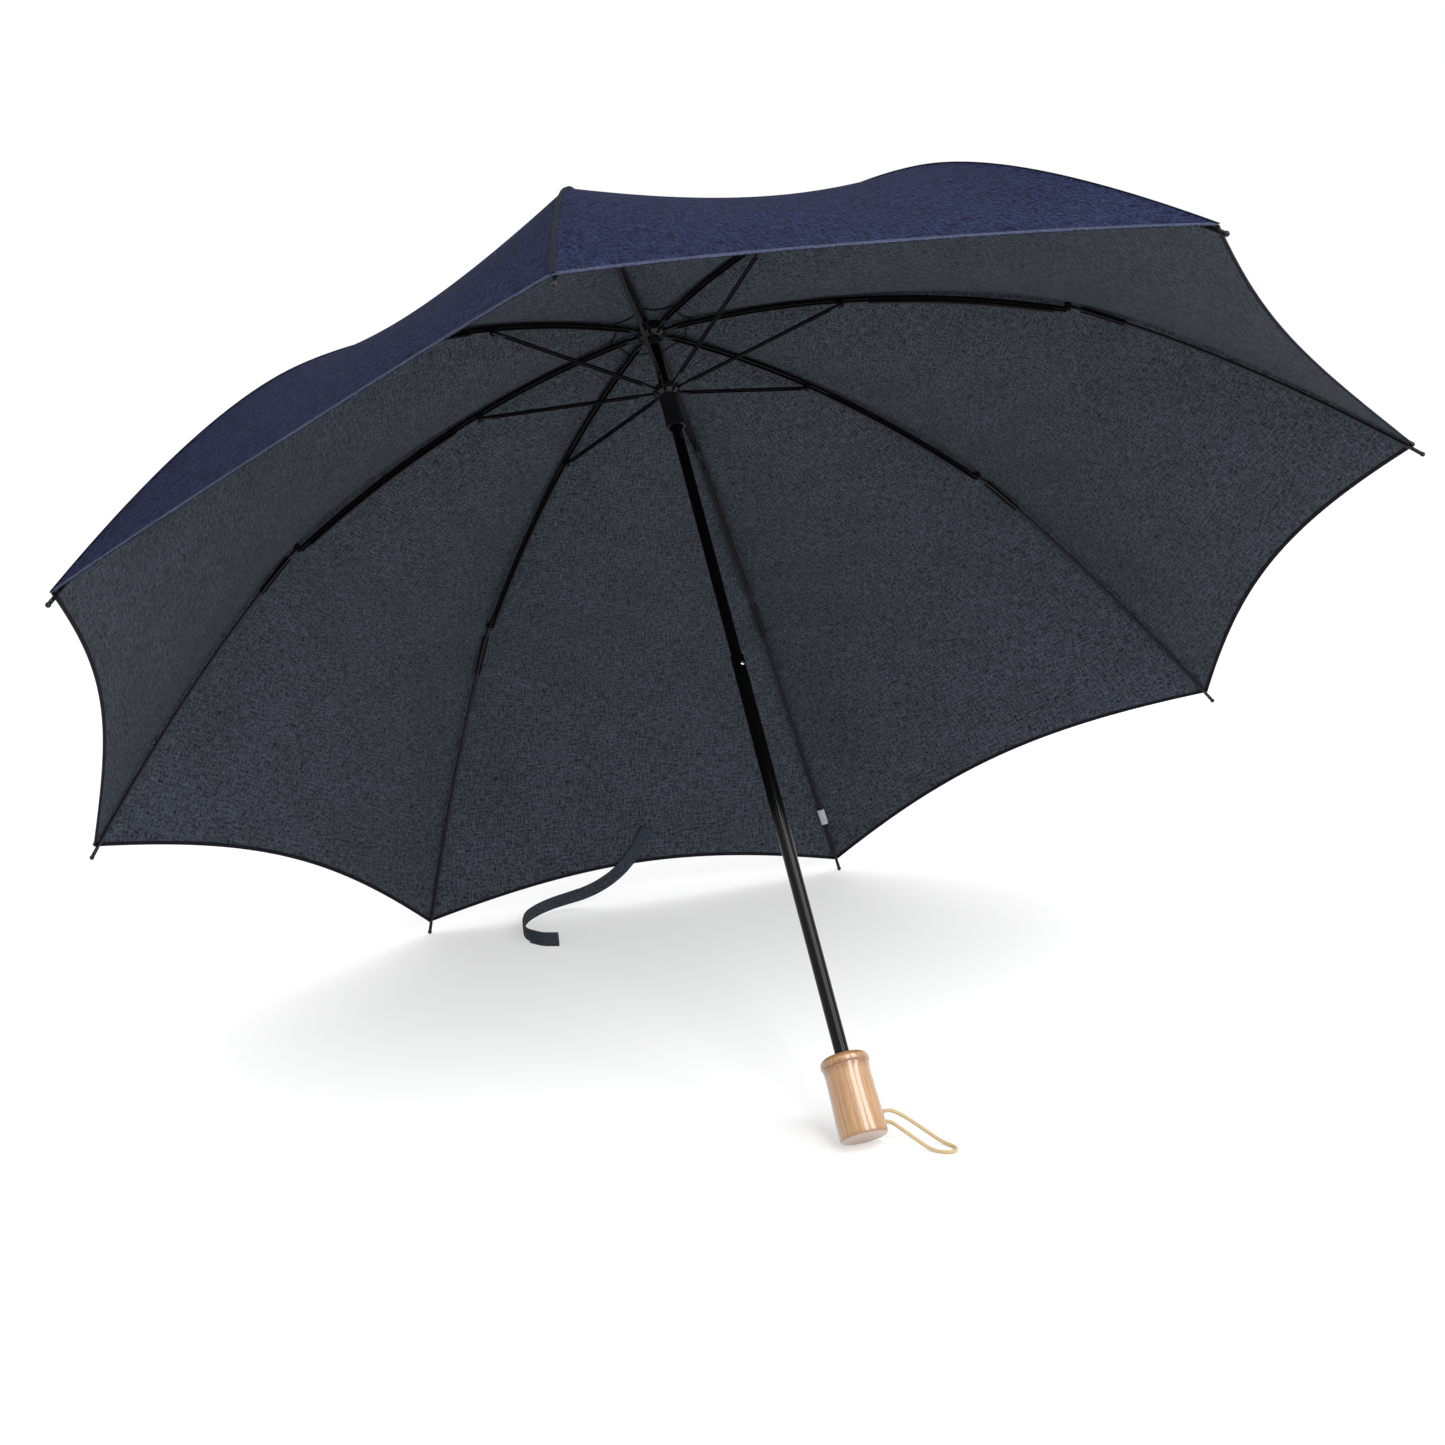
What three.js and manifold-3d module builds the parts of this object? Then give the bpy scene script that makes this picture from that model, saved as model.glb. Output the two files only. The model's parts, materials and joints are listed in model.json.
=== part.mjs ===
// A two-fold telescopic umbrella with eight ribs, standing open on the floor on two rib tips and the
// edge of its handle. Millimetres, +Z up, the longest way across the canopy along X.
import * as THREE from "three";
import { mergeVertices } from "three/addons/utils/BufferGeometryUtils.js";
import Module from "manifold-3d";

const wasm = await Module();
wasm.setup();

// ---- Driving dimensions -------------------------------------------------------------------------
const ribCount = 8;
const gap = 0.3; // between pieces that touch on the real umbrella

const crownHeight = 630; // handle's end to the rib pivots in the top notch
const canopyRadius = 487; // shaft axis to a corner of the fabric
const cornerDrop = 274; // rib pivots down to a corner of the fabric
const kneeRadius = 299; // shaft axis to the knee pivot of an open rib
const kneeDrop = 86;
const elbowRadius = 143; // shaft axis to the stretcher's pivot on an open rib

const upperTubeRadius = 3.95;
const tubeWall = 0.55;
const tubeClearance = 0.35;
const lowerTubeDrop = 278; // rib pivots down to the mouth of the lower tube
const lockDrop = 286; // rib pivots down to the lock button
const tubeOverlap = 30; // upper tube inside the lower one when the shaft is drawn out
const shaftTravel = 250;

const handleRadius = 16;
const handleLength = 55;
const handleWaist = 0.9; // how far the grip narrows under its shoulder
const handleEdge = 2; // round on the handle's end
const handleLip = 0.4; // how far the shoulder's ring stands out
const socketDepth = 43; // how far the lower tube goes into the handle
const cordRadius = 1.25;
const cordHoleHeights = [8, 15]; // above the handle's end

const plateThickness = 1.5; // flat eyes at the ends of ribs and stretchers
const slotWidth = plateThickness + 0.7;
const channelWidth = 3.9;
const channelHeight = 3;
const channelWall = 0.5;
const eyeRadius = 1.7;
const eyeHole = 0.95;
const pinRadius = 0.6;
const bladeLength = 9; // flat end of a rib, from its pivot to its channel
const stretcherChannel = { width: 2.6, height: 2.2, wall: 0.45 };
const elbowOffset = 3.4; // rib's centre line down to the stretcher's pivot
const kneeOffset = 3.2; // rib's centre line up to the knee pivot
const rodRadius = 1.25; // outer rib
const kneeBracket = { rodStart: 6, start: 8, end: 34 }; // out from the knee pivot
const tipRadius = 1.8;
const tipReach = 8.5; // end of the outer rib beyond the corner of the fabric
const linkRadius = 0.9;
const linkGap = 1.2; // under the rib's channel
const linkEnds = { elbow: 22, knee: 9 }; // link rod's ends to the two pivots

const fabricThickness = 0.6;
const kneeSeam = 0.002; // share of each gore left open where the two meet at the knee
const fabricLift = 6.5; // fabric over the rib pivots at the crown
const crownHole = 7; // radius
const rimScallop = 20; // how far the rim curves in between two corners

const runnerClearance = 0.75; // round the lower tube
const runnerWall = 1.1;
const runnerLength = 36;
const flangeHeight = 3; // half the thickness of the slotted flange on top of the runner
const flangeInset = 0.6; // the runner's flange within the notch's rim
const notchHalfHeight = 4;
const notchRim = 1.6; // beyond the rib pivots
const collarLength = 12; // of the notch's collar, under the rib pivots
const collarWall = 1.6;
const capOverhang = 6; // crown cap beyond the hole in the fabric

const strapWidth = 11;
const strapThickness = 1;
const strapInset = 24; // from the rim to where the strap is sewn on
const tagLength = 13;
const tagWall = 0.55;
const tagStretch = 1.6; // its width over its height
const tagInset = 34; // from the fabric's corner to the tag

const buttonRadius = 1.6;
const buttonHole = 1.9; // radius of its hole through the lower tube
const catchSize = { width: 2, reach: 2.1, tail: 0.5, length: 11, lip: 1.2 };

const bend = { inner: 13.25, outer: 7 }; // how much a rib's slope differs from its chord at each end
const kneeClearance = 4; // a closed rib's knee pivot, further from the shaft than its root

// ---- Worked out from them -----------------------------------------------------------------------
const rad = THREE.MathUtils.degToRad;
const half = Math.PI / ribCount; // from a rib to the middle of its panel
const ribAngle = (k) => rad(202.5) - 2 * half * k; // ribs 2 and 3 stand on the floor
const down = (degrees) => new THREE.Vector2(Math.cos(rad(degrees)), -Math.sin(rad(degrees)));
const up = (degrees) => new THREE.Vector2(Math.sin(rad(degrees)), Math.cos(rad(degrees)));
const point = (x, y) => new THREE.Vector2(x, y);

const lowerTubeRadius = upperTubeRadius + tubeClearance + tubeWall;
const runnerBore = lowerTubeRadius + runnerClearance;
const runnerRadius = runnerBore + runnerWall;
const pivotRadius = runnerRadius + gap + eyeRadius + 0.3; // of the pivots in the notch and the runner
const notchRadius = pivotRadius + notchRim;
const capRadius = crownHole + capOverhang;

// Points and curves in a rib's own plane: x out from the shaft's axis, y up from the rib pivots.
const rootPivot = point(pivotRadius, 0);
const knee = point(kneeRadius, -kneeDrop);
const corner = point(canopyRadius, -cornerDrop);

// Slopes below the horizontal of the open rib, in degrees.
const chordSlope = (a, b) => THREE.MathUtils.radToDeg(Math.atan2(a.y - b.y, b.x - a.x));
const [innerChord, outerChord] = [chordSlope(rootPivot, knee), chordSlope(knee, corner)];
const slope = {
  crown: innerChord - bend.inner,
  knee: innerChord + bend.inner,
  outerStart: outerChord - bend.outer,
  corner: outerChord + bend.outer,
};

// The curve from a to b that leaves and arrives at two slopes.
function bow(a, slopeA, b, slopeB) {
  const [ta, tb] = [Math.tan(rad(slopeA)), Math.tan(rad(slopeB))];
  const x = (b.y - a.y + tb * b.x - ta * a.x) / (tb - ta);
  return new THREE.QuadraticBezierCurve(a, point(x, a.y - ta * (x - a.x)), b);
}

// The curve's parameter at a distance x from the shaft's axis.
function at(curve, x) {
  let [low, high] = [0, 1];
  for (let i = 0; i < 40; i++) {
    const middle = (low + high) / 2;
    if (curve.getPoint(middle).x < x) low = middle;
    else high = middle;
  }
  return low;
}

const innerEnd = knee.clone().addScaledVector(up(slope.knee), -kneeOffset);
const innerLine = bow(rootPivot, slope.crown, innerEnd, slope.knee);
const elbowAt = at(innerLine, elbowRadius);
const elbowTangent = innerLine.getTangent(elbowAt);
const elbow = innerLine
  .getPoint(elbowAt)
  .addScaledVector(point(-elbowTangent.y, elbowTangent.x), -elbowOffset);

const tagRadius = rodRadius + gap + tagWall;
const fabricUnder = Math.max(tipRadius, tagRadius) + 2 * gap; // over the outer rib's centre line
const rodEnd = corner
  .clone()
  .addScaledVector(down(slope.corner), tipReach)
  .addScaledVector(up(slope.corner), -fabricUnder);
const outerLine = bow(knee, slope.outerStart, rodEnd, slope.corner);
const earRadius = eyeRadius + 0.6;
const kneeFabric = knee.clone().addScaledVector(up(slope.knee), earRadius + gap + 0.5);
const innerFabric = bow(point(crownHole, fabricLift), 7, kneeFabric, slope.knee);
const outerFabric = bow(kneeFabric, slope.outerStart - 4, corner, slope.corner);

// The runner's pivots make an even-sided triangle with the rib pivots and the elbows.
const stretcherLength = rootPivot.distanceTo(elbow);
const openAngle = Math.asin(-elbow.y / stretcherLength);
const runnerDrop = -2 * elbow.y;
const kneeReach = rootPivot.distanceTo(knee);
const kneeAngle = Math.asin(kneeDrop / kneeReach);
const ribSwing = Math.acos(kneeClearance / kneeReach) - kneeAngle;
const runnerTravel = 2 * stretcherLength * Math.sin(openAngle + ribSwing) - runnerDrop;
const outerFold = rad(191);
const linkTravel = 5;

// How far the shaft leans when the handle's edge and two tips meet the floor.
const footCentre = point(handleRadius - handleEdge, handleEdge);
const tipCentre = point(rodEnd.x * Math.cos(half), crownHeight + rodEnd.y);
const span = tipCentre.clone().sub(footCentre);
const lean = span.angle() - Math.asin((tipRadius - handleEdge) / span.length());
const footHeight = handleEdge + footCentre.x * Math.sin(lean) - footCentre.y * Math.cos(lean);

// ---- Shapes -------------------------------------------------------------------------------------
function toSolid(geometry) {
  const plain = geometry.index ? geometry.toNonIndexed() : geometry.clone();
  plain.deleteAttribute("normal");
  plain.deleteAttribute("uv");
  const merged = mergeVertices(plain, 1e-4);
  return new wasm.Manifold(
    new wasm.Mesh({
      numProp: 3,
      vertProperties: merged.attributes.position.array,
      triVerts: new Uint32Array(merged.index.array),
    }),
  );
}

function toGeometry(solid) {
  const mesh = solid.getMesh();
  const geometry = new THREE.BufferGeometry();
  geometry.setAttribute("position", new THREE.BufferAttribute(mesh.vertProperties, 3));
  geometry.setIndex(new THREE.BufferAttribute(mesh.triVerts, 1));
  geometry.computeVertexNormals();
  return geometry;
}

const join = (...parts) => toGeometry(parts.map(toSolid).reduce((a, b) => a.add(b)));
const cut = (base, ...tools) =>
  toGeometry(tools.map(toSolid).reduce((a, b) => a.subtract(b), toSolid(base)));

// A closed outline of [radius, height] turned about the Z axis, listed outside upwards.
function turned(outline, segments) {
  const points = outline.map(([r, h]) => point(r, h));
  return new THREE.LatheGeometry(points, segments).rotateX(Math.PI / 2);
}

const ring = (inner, outer, low, high, segments) =>
  turned([[inner, low], [outer, low], [outer, high], [inner, high], [inner, low]], segments);

// A rod along Y, in a rib's plane at p.
function pin(p, radius, length, sides = 6) {
  return new THREE.CylinderGeometry(radius, radius, length, sides).translate(p.x, 0, p.y);
}

// A flat plate in a rib's plane, centred on y.
function plate(shape, thickness, y = 0) {
  const geometry = new THREE.ExtrudeGeometry(shape, {
    depth: thickness,
    bevelEnabled: false,
    curveSegments: 3,
  });
  return geometry.translate(0, 0, -thickness / 2).rotateX(Math.PI / 2).translate(0, y, 0);
}

// An eye round p with a bar of the given height that runs to q.
function eyeBar(p, q, height) {
  const along = q.clone().sub(p).normalize();
  const side = point(-along.y, along.x).multiplyScalar(height / 2);
  const start = Math.asin(Math.min(1, height / 2 / eyeRadius));
  const turn = along.angle();
  const shape = new THREE.Shape();
  shape.moveTo(q.x - side.x, q.y - side.y);
  shape.lineTo(q.x + side.x, q.y + side.y);
  shape.absarc(p.x, p.y, eyeRadius, turn + start, turn + 2 * Math.PI - start, false);
  shape.closePath();
  shape.holes.push(new THREE.Path().absarc(p.x, p.y, eyeHole, 0, 2 * Math.PI, true));
  return plate(shape, plateThickness);
}

// Two ears round p that reach to q, with the pivot's pin across them.
function clevis(p, q) {
  const along = q.clone().sub(p).normalize();
  const side = point(-along.y, along.x).multiplyScalar(earRadius);
  const shape = new THREE.Shape();
  shape.moveTo(q.x - side.x, q.y - side.y);
  shape.lineTo(q.x + side.x, q.y + side.y);
  shape.absarc(p.x, p.y, earRadius, along.angle() + Math.PI / 2, along.angle() + 1.5 * Math.PI, false);
  shape.closePath();
  const y = (channelWidth - channelWall) / 2;
  const head = 0.5;
  return [
    plate(shape, channelWall, y),
    plate(shape, channelWall, -y),
    pin(p, pinRadius, channelWidth + 2 * head),
  ];
}

// A piece of a plane curve, as a path in space.
function path(curve, from, to, steps) {
  const points = [];
  for (let i = 0; i <= steps; i++) {
    const p = curve.getPoint(from + ((to - from) * i) / steps);
    points.push(new THREE.Vector3(p.x, 0, p.y));
  }
  return new THREE.CatmullRomCurve3(points);
}

function sweep(outline, along, steps) {
  const shape = new THREE.Shape(outline);
  return new THREE.ExtrudeGeometry(shape, { extrudePath: along, steps, bevelEnabled: false });
}

// A section's outlines: x across, y down. A channel is open at the bottom.
function channelOutline(width, height, wall) {
  const [w, h] = [width / 2, height / 2];
  return [
    [-w, -h], [w, -h], [w, h], [w - wall, h],
    [w - wall, wall - h], [wall - w, wall - h], [wall - w, h], [-w, h],
  ].map(([x, y]) => point(x, y));
}

function roundOutline(radius, sides) {
  return Array.from({ length: sides }, (_, i) => {
    const a = (2 * Math.PI * (i + 0.5)) / sides;
    return point(radius * Math.cos(a), radius * Math.sin(a));
  });
}

// ---- Pieces of a rib, each in the rib's own plane -----------------------------------------------
function innerRibShape() {
  const start = at(innerLine, pivotRadius + bladeLength - 1);
  const bladeEnd = innerLine.getPoint(at(innerLine, pivotRadius + bladeLength + 2));
  const channel = sweep(
    channelOutline(channelWidth, channelHeight, channelWall),
    path(innerLine, start, 1, 6),
    6,
  );
  return join(
    channel,
    eyeBar(rootPivot, bladeEnd, channelHeight - 0.2),
    ...clevis(elbow, innerLine.getPoint(elbowAt)),
    ...clevis(knee, innerEnd),
  );
}

function stretcherShape() {
  const end = point(pivotRadius, -runnerDrop);
  const along = end.clone().sub(elbow).normalize();
  const channelFrom = elbow.clone().addScaledVector(along, bladeLength - 3);
  const channelTo = end.clone().addScaledVector(along, -bladeLength);
  const bar = new THREE.LineCurve3(
    new THREE.Vector3(channelFrom.x, 0, channelFrom.y),
    new THREE.Vector3(channelTo.x, 0, channelTo.y),
  );
  const { width, height, wall } = stretcherChannel;
  return join(
    sweep(channelOutline(width, height, wall), bar, 1),
    eyeBar(elbow, channelFrom.clone().addScaledVector(along, 3), height - 0.2),
    eyeBar(end, channelTo.clone().addScaledVector(along, -3), height - 0.2),
  );
}

function linkRodShape() {
  const offset = channelHeight / 2 + linkGap + linkRadius;
  const from = at(innerLine, elbowRadius + linkEnds.elbow);
  const to = at(innerLine, kneeRadius - linkEnds.knee);
  const steps = 4;
  const points = [];
  for (let i = 0; i <= steps; i++) {
    const t = from + ((to - from) * i) / steps;
    const tangent = innerLine.getTangent(t);
    const p = innerLine.getPoint(t).addScaledVector(point(-tangent.y, tangent.x), -offset);
    points.push(new THREE.Vector3(p.x, 0, p.y));
  }
  return sweep(roundOutline(linkRadius, 5), new THREE.CatmullRomCurve3(points), steps);
}

function outerRibShape() {
  const first = at(outerLine, kneeRadius + kneeBracket.rodStart);
  const sleeve = [kneeBracket.start, kneeBracket.end].map((x) => at(outerLine, kneeRadius + x));
  const rod = sweep(roundOutline(rodRadius, 6), path(outerLine, first, 1, 6), 6);
  const bracket = sweep(
    channelOutline(channelWidth, 2 * rodRadius + 0.6, channelWall),
    path(outerLine, ...sleeve, 2),
    2,
  );
  const tip = new THREE.SphereGeometry(tipRadius, 8, 6).translate(rodEnd.x, 0, rodEnd.y);
  return join(rod, bracket, eyeBar(knee, outerLine.getPoint(sleeve[0] + 0.02), 2.2), tip);
}

// The fabric from one panel's middle to the next, over a stretch of the rib. Its rim curves in by
// scallop between the corners.
function goreShape(curve, from, to, scallop, rows, columns) {
  const length = curve.getLength();
  const seam = 0.2;
  const place = (i, j, lift) => {
    const share = Math.abs(j) / columns;
    const a = share * half;
    const end = to - (scallop / length) * (1 - (1 - share) ** 2);
    const p = curve.getPoint(from + ((end - from) * i) / rows);
    const r = (p.x * Math.cos(half)) / Math.cos(half - a);
    const inset = share === 1 ? seam : 0;
    const side = Math.sign(j);
    return new THREE.Vector3(
      r * Math.cos(a) + inset * Math.sin(half),
      side * (r * Math.sin(a) - inset * Math.cos(half)),
      p.y + lift,
    );
  };
  const grid = (lift) => {
    const points = [];
    for (let i = 0; i <= rows; i++)
      for (let j = -columns; j <= columns; j++) points.push(place(i, j, lift));
    return points;
  };
  const across = 2 * columns + 1;
  const sheet = (rows + 1) * across;
  const points = [...grid(fabricThickness), ...grid(0)];
  const faces = [];
  const quad = (a, b, c, d) => faces.push(a, b, c, a, c, d);
  for (let i = 0; i < rows; i++)
    for (let j = 0; j < across - 1; j++) {
      const a = i * across + j;
      quad(a, a + across, a + across + 1, a + 1);
      quad(sheet + a, sheet + a + 1, sheet + a + across + 1, sheet + a + across);
    }
  const wall = (a, b) => quad(a, b, b + sheet, a + sheet);
  for (let j = 0; j < across - 1; j++) {
    wall(j, j + 1);
    wall(rows * across + j + 1, rows * across + j);
  }
  for (let i = 0; i < rows; i++) {
    wall((i + 1) * across, i * across);
    wall(i * across + across - 1, (i + 1) * across + across - 1);
  }
  const geometry = new THREE.BufferGeometry().setFromPoints(points);
  geometry.setIndex(faces);
  geometry.computeVertexNormals();
  return geometry;
}

function tagShape() {
  const line = outerLine;
  const near = at(line, canopyRadius - tagInset);
  const far = near + tagLength / line.getLength();
  const outline = roundOutline(tagRadius, 10).map((p) => point(p.x * tagStretch, p.y));
  return cut(
    sweep(outline, path(line, near, far, 2), 2),
    sweep(roundOutline(tagRadius - tagWall, 10), path(line, near - 0.01, far + 0.01, 2), 2),
  );
}

// ---- Pieces on the shaft, each upright with its own pivots or end at 0 ---------------------------
function slots(top, bottom, floor) {
  return Array.from({ length: ribCount }, (_, k) => {
    const deep = notchRadius + 2 - floor;
    return new THREE.BoxGeometry(deep, slotWidth, top - bottom)
      .translate(floor + deep / 2, 0, (top + bottom) / 2)
      .rotateZ(ribAngle(k));
  });
}

function topNotchShape() {
  const bore = upperTubeRadius + gap;
  const collar = bore + collarWall;
  const chamfer = 1;
  const body = turned(
    [
      [bore, -collarLength], [collar, -collarLength], [collar, -notchHalfHeight - chamfer],
      [notchRadius - chamfer, -notchHalfHeight], [notchRadius, chamfer - notchHalfHeight],
      [notchRadius, notchHalfHeight - chamfer], [notchRadius - chamfer, notchHalfHeight],
      [bore, notchHalfHeight], [bore, -collarLength],
    ],
    24,
  );
  const slotTop = eyeRadius + gap + 0.6; // the rim is whole over the ribs' ends
  const slotted = cut(body, ...slots(slotTop, -notchHalfHeight - 2, pivotRadius - eyeRadius - gap));
  return join(slotted, new THREE.TorusGeometry(pivotRadius, pinRadius - 0.1, 4, 16));
}

function runnerShape() {
  const flange = notchRadius - flangeInset;
  const top = flangeHeight;
  const low = top - runnerLength;
  const foot = { radius: runnerRadius + gap, height: 3.5 };
  const chamfer = 0.8;
  const outline = [
    [runnerBore, low], [foot.radius, low], [foot.radius, low + foot.height],
    [runnerRadius, low + foot.height + 1.5], [runnerRadius, -top - 2], [flange, -top],
    [flange, top - chamfer], [flange - chamfer, top], [runnerBore, top], [runnerBore, low],
  ];
  return cut(turned(outline, 24), ...slots(top + 1, -top - 3, pivotRadius - eyeRadius - gap));
}

function crownCapShape() {
  const base = fabricLift + fabricThickness + 1;
  const stem = upperTubeRadius;
  return turned(
    [
      [0, notchHalfHeight + gap], [stem, notchHalfHeight + gap], [stem, base],
      [capRadius - 0.6, base - 0.4], [capRadius, base + 0.3], [capRadius * 0.86, base + 2.6],
      [capRadius * 0.55, base + 4.4], [capRadius * 0.3, base + 5], [capRadius * 0.26, base + 9],
      [0, base + 9.8],
    ],
    24,
  );
}

function handleShape() {
  const shoulder = handleLength - 9;
  const r = handleRadius;
  const bore = lowerTubeRadius + gap;
  const e = handleEdge;
  const outline = [
    [0, 0], [r - e, 0], [r - e * 0.3, e * 0.3], [r, e], [r, 10],
    [r - handleWaist * 0.7, 24], [r - handleWaist, shoulder - 4], [r - 0.5, shoulder],
    [r + handleLip, shoulder + 2.5], [r + handleLip, handleLength - 3], [r - 0.6, handleLength - 0.8],
    [r - 2.6, handleLength], [bore, handleLength], [bore, handleLength - socketDepth],
    [0, handleLength - socketDepth],
  ];
  const holeDepth = 5;
  const holes = cordHoleHeights.map((height) =>
    new THREE.CylinderGeometry(cordRadius + gap, cordRadius + gap, holeDepth, 8)
      .rotateZ(Math.PI / 2)
      .translate(r + 1 - holeDepth / 2, 0, height),
  );
  return cut(turned(outline, 32), ...holes);
}

function lockButtonShape() {
  const proud = runnerBore - 0.2;
  const foot = upperTubeRadius + 0.15;
  const r = buttonRadius;
  const dome = [[0, foot], [r, foot], [r, lowerTubeRadius - 0.1], [r * 0.8, proud - 0.2], [0, proud]];
  return turned(dome, 12).rotateY(Math.PI / 2);
}

function catchSpringShape() {
  const { width, reach, tail, length, lip } = catchSize;
  const root = upperTubeRadius + 0.15;
  const outline = [[0, 0], [reach, 0], [reach, -lip], [tail, -length], [0, -length]];
  return plate(new THREE.Shape(outline.map(([x, y]) => point(root + x, y))), width);
}

// ---- Soft pieces that lie on the floor, in the floor's frame with the handle's end at x = y = 0 --
const wristLoopRoute = [
  [12.2, 4.94, 15.34], [17, 4.94, 15.34], [20.5, 3.2, 14.3], [23.5, -0.5, 12.3], [27, -5.5, 9.6],
  [31, -10.5, 6.6], [35, -15.5, 3.6], [39, -20.5, 1.7], [43.5, -25, 1.45], [48, -27.5, 1.45],
  [52, -26, 1.45], [53, -21.5, 1.45], [50.5, -16, 1.7], [47, -11, 3.2], [43, -6, 6],
  [38.5, -1, 9.4], [33.5, 4, 13.2], [28, 7.5, 17], [22.5, 9.2, 20], [17, 9.26, 20.85],
  [12.2, 9.26, 20.85],
];

// Each is x and y from where the strap is sewn on, and its share of that place's height over the band
// that lies on the floor.
const strapRoute = [
  [10.5, -6.2, 1], [6, -7.2, 0.87], [1.5, -7.2, 0.74], [-5.5, -7.2, 0.6], [-13.5, -7.2, 0.47],
  [-20, -6.2, 0.38], [-26.5, -4.7, 0.3], [-36, -1.2, 0.2], [-48, 3.8, 0.105], [-62, 7.8, 0.04],
  [-78, 4.8, 0.01], [-93, -5.2, 0], [-105, -20.2, 0], [-112, -39.2, 0], [-114.5, -57.2, 0],
  [-112, -72.2, 0],
];
const strapTabRoute = [[-111.85, -72.6, 0], [-104, -83.9, 0], [-92.5, -90.4, 0]];

const vectors = (route) => route.map((p) => new THREE.Vector3(...p));

// A flat band stood on its edge along a route.
function band(route, width, thickness, steps) {
  const curve = new THREE.CatmullRomCurve3(vectors(route));
  const points = [];
  for (let i = 0; i <= steps; i++) {
    const p = curve.getPoint(i / steps);
    const tangent = curve.getTangent(i / steps);
    const across = new THREE.Vector3(0, 0, 1).addScaledVector(tangent, -tangent.z).normalize();
    const through = tangent.clone().cross(across);
    for (const [u, v] of [[-1, -1], [1, -1], [1, 1], [-1, 1]])
      points.push(
        p
          .clone()
          .addScaledVector(across, (u * width) / 2)
          .addScaledVector(through, (v * thickness) / 2),
      );
  }
  const faces = [0, 2, 1, 0, 3, 2];
  for (let i = 0; i < steps; i++)
    for (let j = 0; j < 4; j++) {
      const [a, b] = [4 * i + j, 4 * i + ((j + 1) % 4)];
      faces.push(a, b, b + 4, a, b + 4, a + 4);
    }
  const last = 4 * steps;
  faces.push(last, last + 1, last + 2, last, last + 2, last + 3);
  const geometry = new THREE.BufferGeometry().setFromPoints(points);
  geometry.setIndex(faces);
  geometry.computeVertexNormals();
  return geometry;
}

// ---- Materials ----------------------------------------------------------------------------------
const material = (color, roughness, metalness) => () =>
  new THREE.MeshStandardMaterial({ color, roughness, metalness });
const denim = material(0x2b3046, 0.9, 0);
const blackSteel = material(0x0b0b0d, 0.25, 0.6);
const blackPlastic = material(0x111113, 0.4, 0);
const bamboo = material(0xb98a4e, 0.3, 0);
const goldenCord = material(0xc7a25a, 0.8, 0);
const brightSteel = material(0xc8c8c8, 0.3, 1);
const clearPlastic = material(0xb8b8b8, 0.2, 0);

// ---- Assembly -----------------------------------------------------------------------------------
const umbrella = new THREE.Group();
const standing = new THREE.Group(); // the floor's frame, with the handle's end at x = y = 0
const shaft = new THREE.Group(); // the shaft's own frame, leaning
umbrella.add(standing);
standing.add(shaft);
shaft.rotation.x = -lean;
shaft.position.z = footHeight;

function place(name, geometry, makeMaterial, parent, height = 0) {
  const mesh = new THREE.Mesh(geometry, makeMaterial());
  mesh.name = name;
  mesh.position.z = height;
  parent.add(mesh);
  return mesh;
}

place("handle", handleShape(), bamboo, shaft);
const lowerTubeEnd = handleLength - socketDepth + 1;
place(
  "lower_tube",
  ring(lowerTubeRadius - tubeWall, lowerTubeRadius, lowerTubeEnd, crownHeight - lowerTubeDrop, 24),
  blackSteel,
  shaft,
);
const upperTubeEnd = crownHeight - lowerTubeDrop - tubeOverlap;
place(
  "upper_tube",
  ring(upperTubeRadius - tubeWall, upperTubeRadius, upperTubeEnd, crownHeight + notchHalfHeight, 24),
  blackSteel,
  shaft,
);
place("top_notch", topNotchShape(), blackPlastic, shaft, crownHeight);
place("crown_cap", crownCapShape(), blackPlastic, shaft, crownHeight);
place("runner", runnerShape(), blackPlastic, shaft, crownHeight - runnerDrop);

// The lock button sits in a hole through the wall of the lower tube, on the side of the spring.
const buttonTurn = rad(-75);
const lockButton = place("lock_button", lockButtonShape(), brightSteel, shaft);
lockButton.position.z = crownHeight - lockDrop;
lockButton.rotation.z = buttonTurn;
const lowerTube = shaft.getObjectByName("lower_tube");
lowerTube.geometry = cut(
  lowerTube.geometry,
  new THREE.CylinderGeometry(buttonHole, buttonHole, 4, 12)
    .rotateZ(Math.PI / 2)
    .translate(lowerTubeRadius, 0, 0)
    .rotateZ(buttonTurn)
    .translate(0, 0, crownHeight - lockDrop),
);
const catchTop = crownHeight - runnerDrop + flangeHeight - runnerLength - gap;
const catchSpring = place("catch_spring", catchSpringShape(), blackSteel, shaft, catchTop);
catchSpring.rotation.z = buttonTurn;

const shapes = {
  inner_rib: [innerRibShape(), blackSteel],
  stretcher: [stretcherShape(), blackSteel],
  link_rod: [linkRodShape(), blackSteel],
  outer_rib: [outerRibShape(), blackSteel],
  inner_gore: [goreShape(innerFabric, 0, 1 - kneeSeam, 0, 4, 2), denim],
  outer_gore: [goreShape(outerFabric, kneeSeam, 1, rimScallop, 4, 3), denim],
};
const ribs = Array.from({ length: ribCount }, (_, k) => {
  const rib = new THREE.Group();
  rib.position.z = crownHeight;
  rib.rotation.z = ribAngle(k);
  shaft.add(rib);
  for (const [name, [geometry, makeMaterial]] of Object.entries(shapes))
    place(`${name}_${k}`, geometry, makeMaterial, rib);
  return rib;
});
const tagRib = 3;
place("rib_tag", tagShape(), clearPlastic, ribs[tagRib]);

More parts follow.
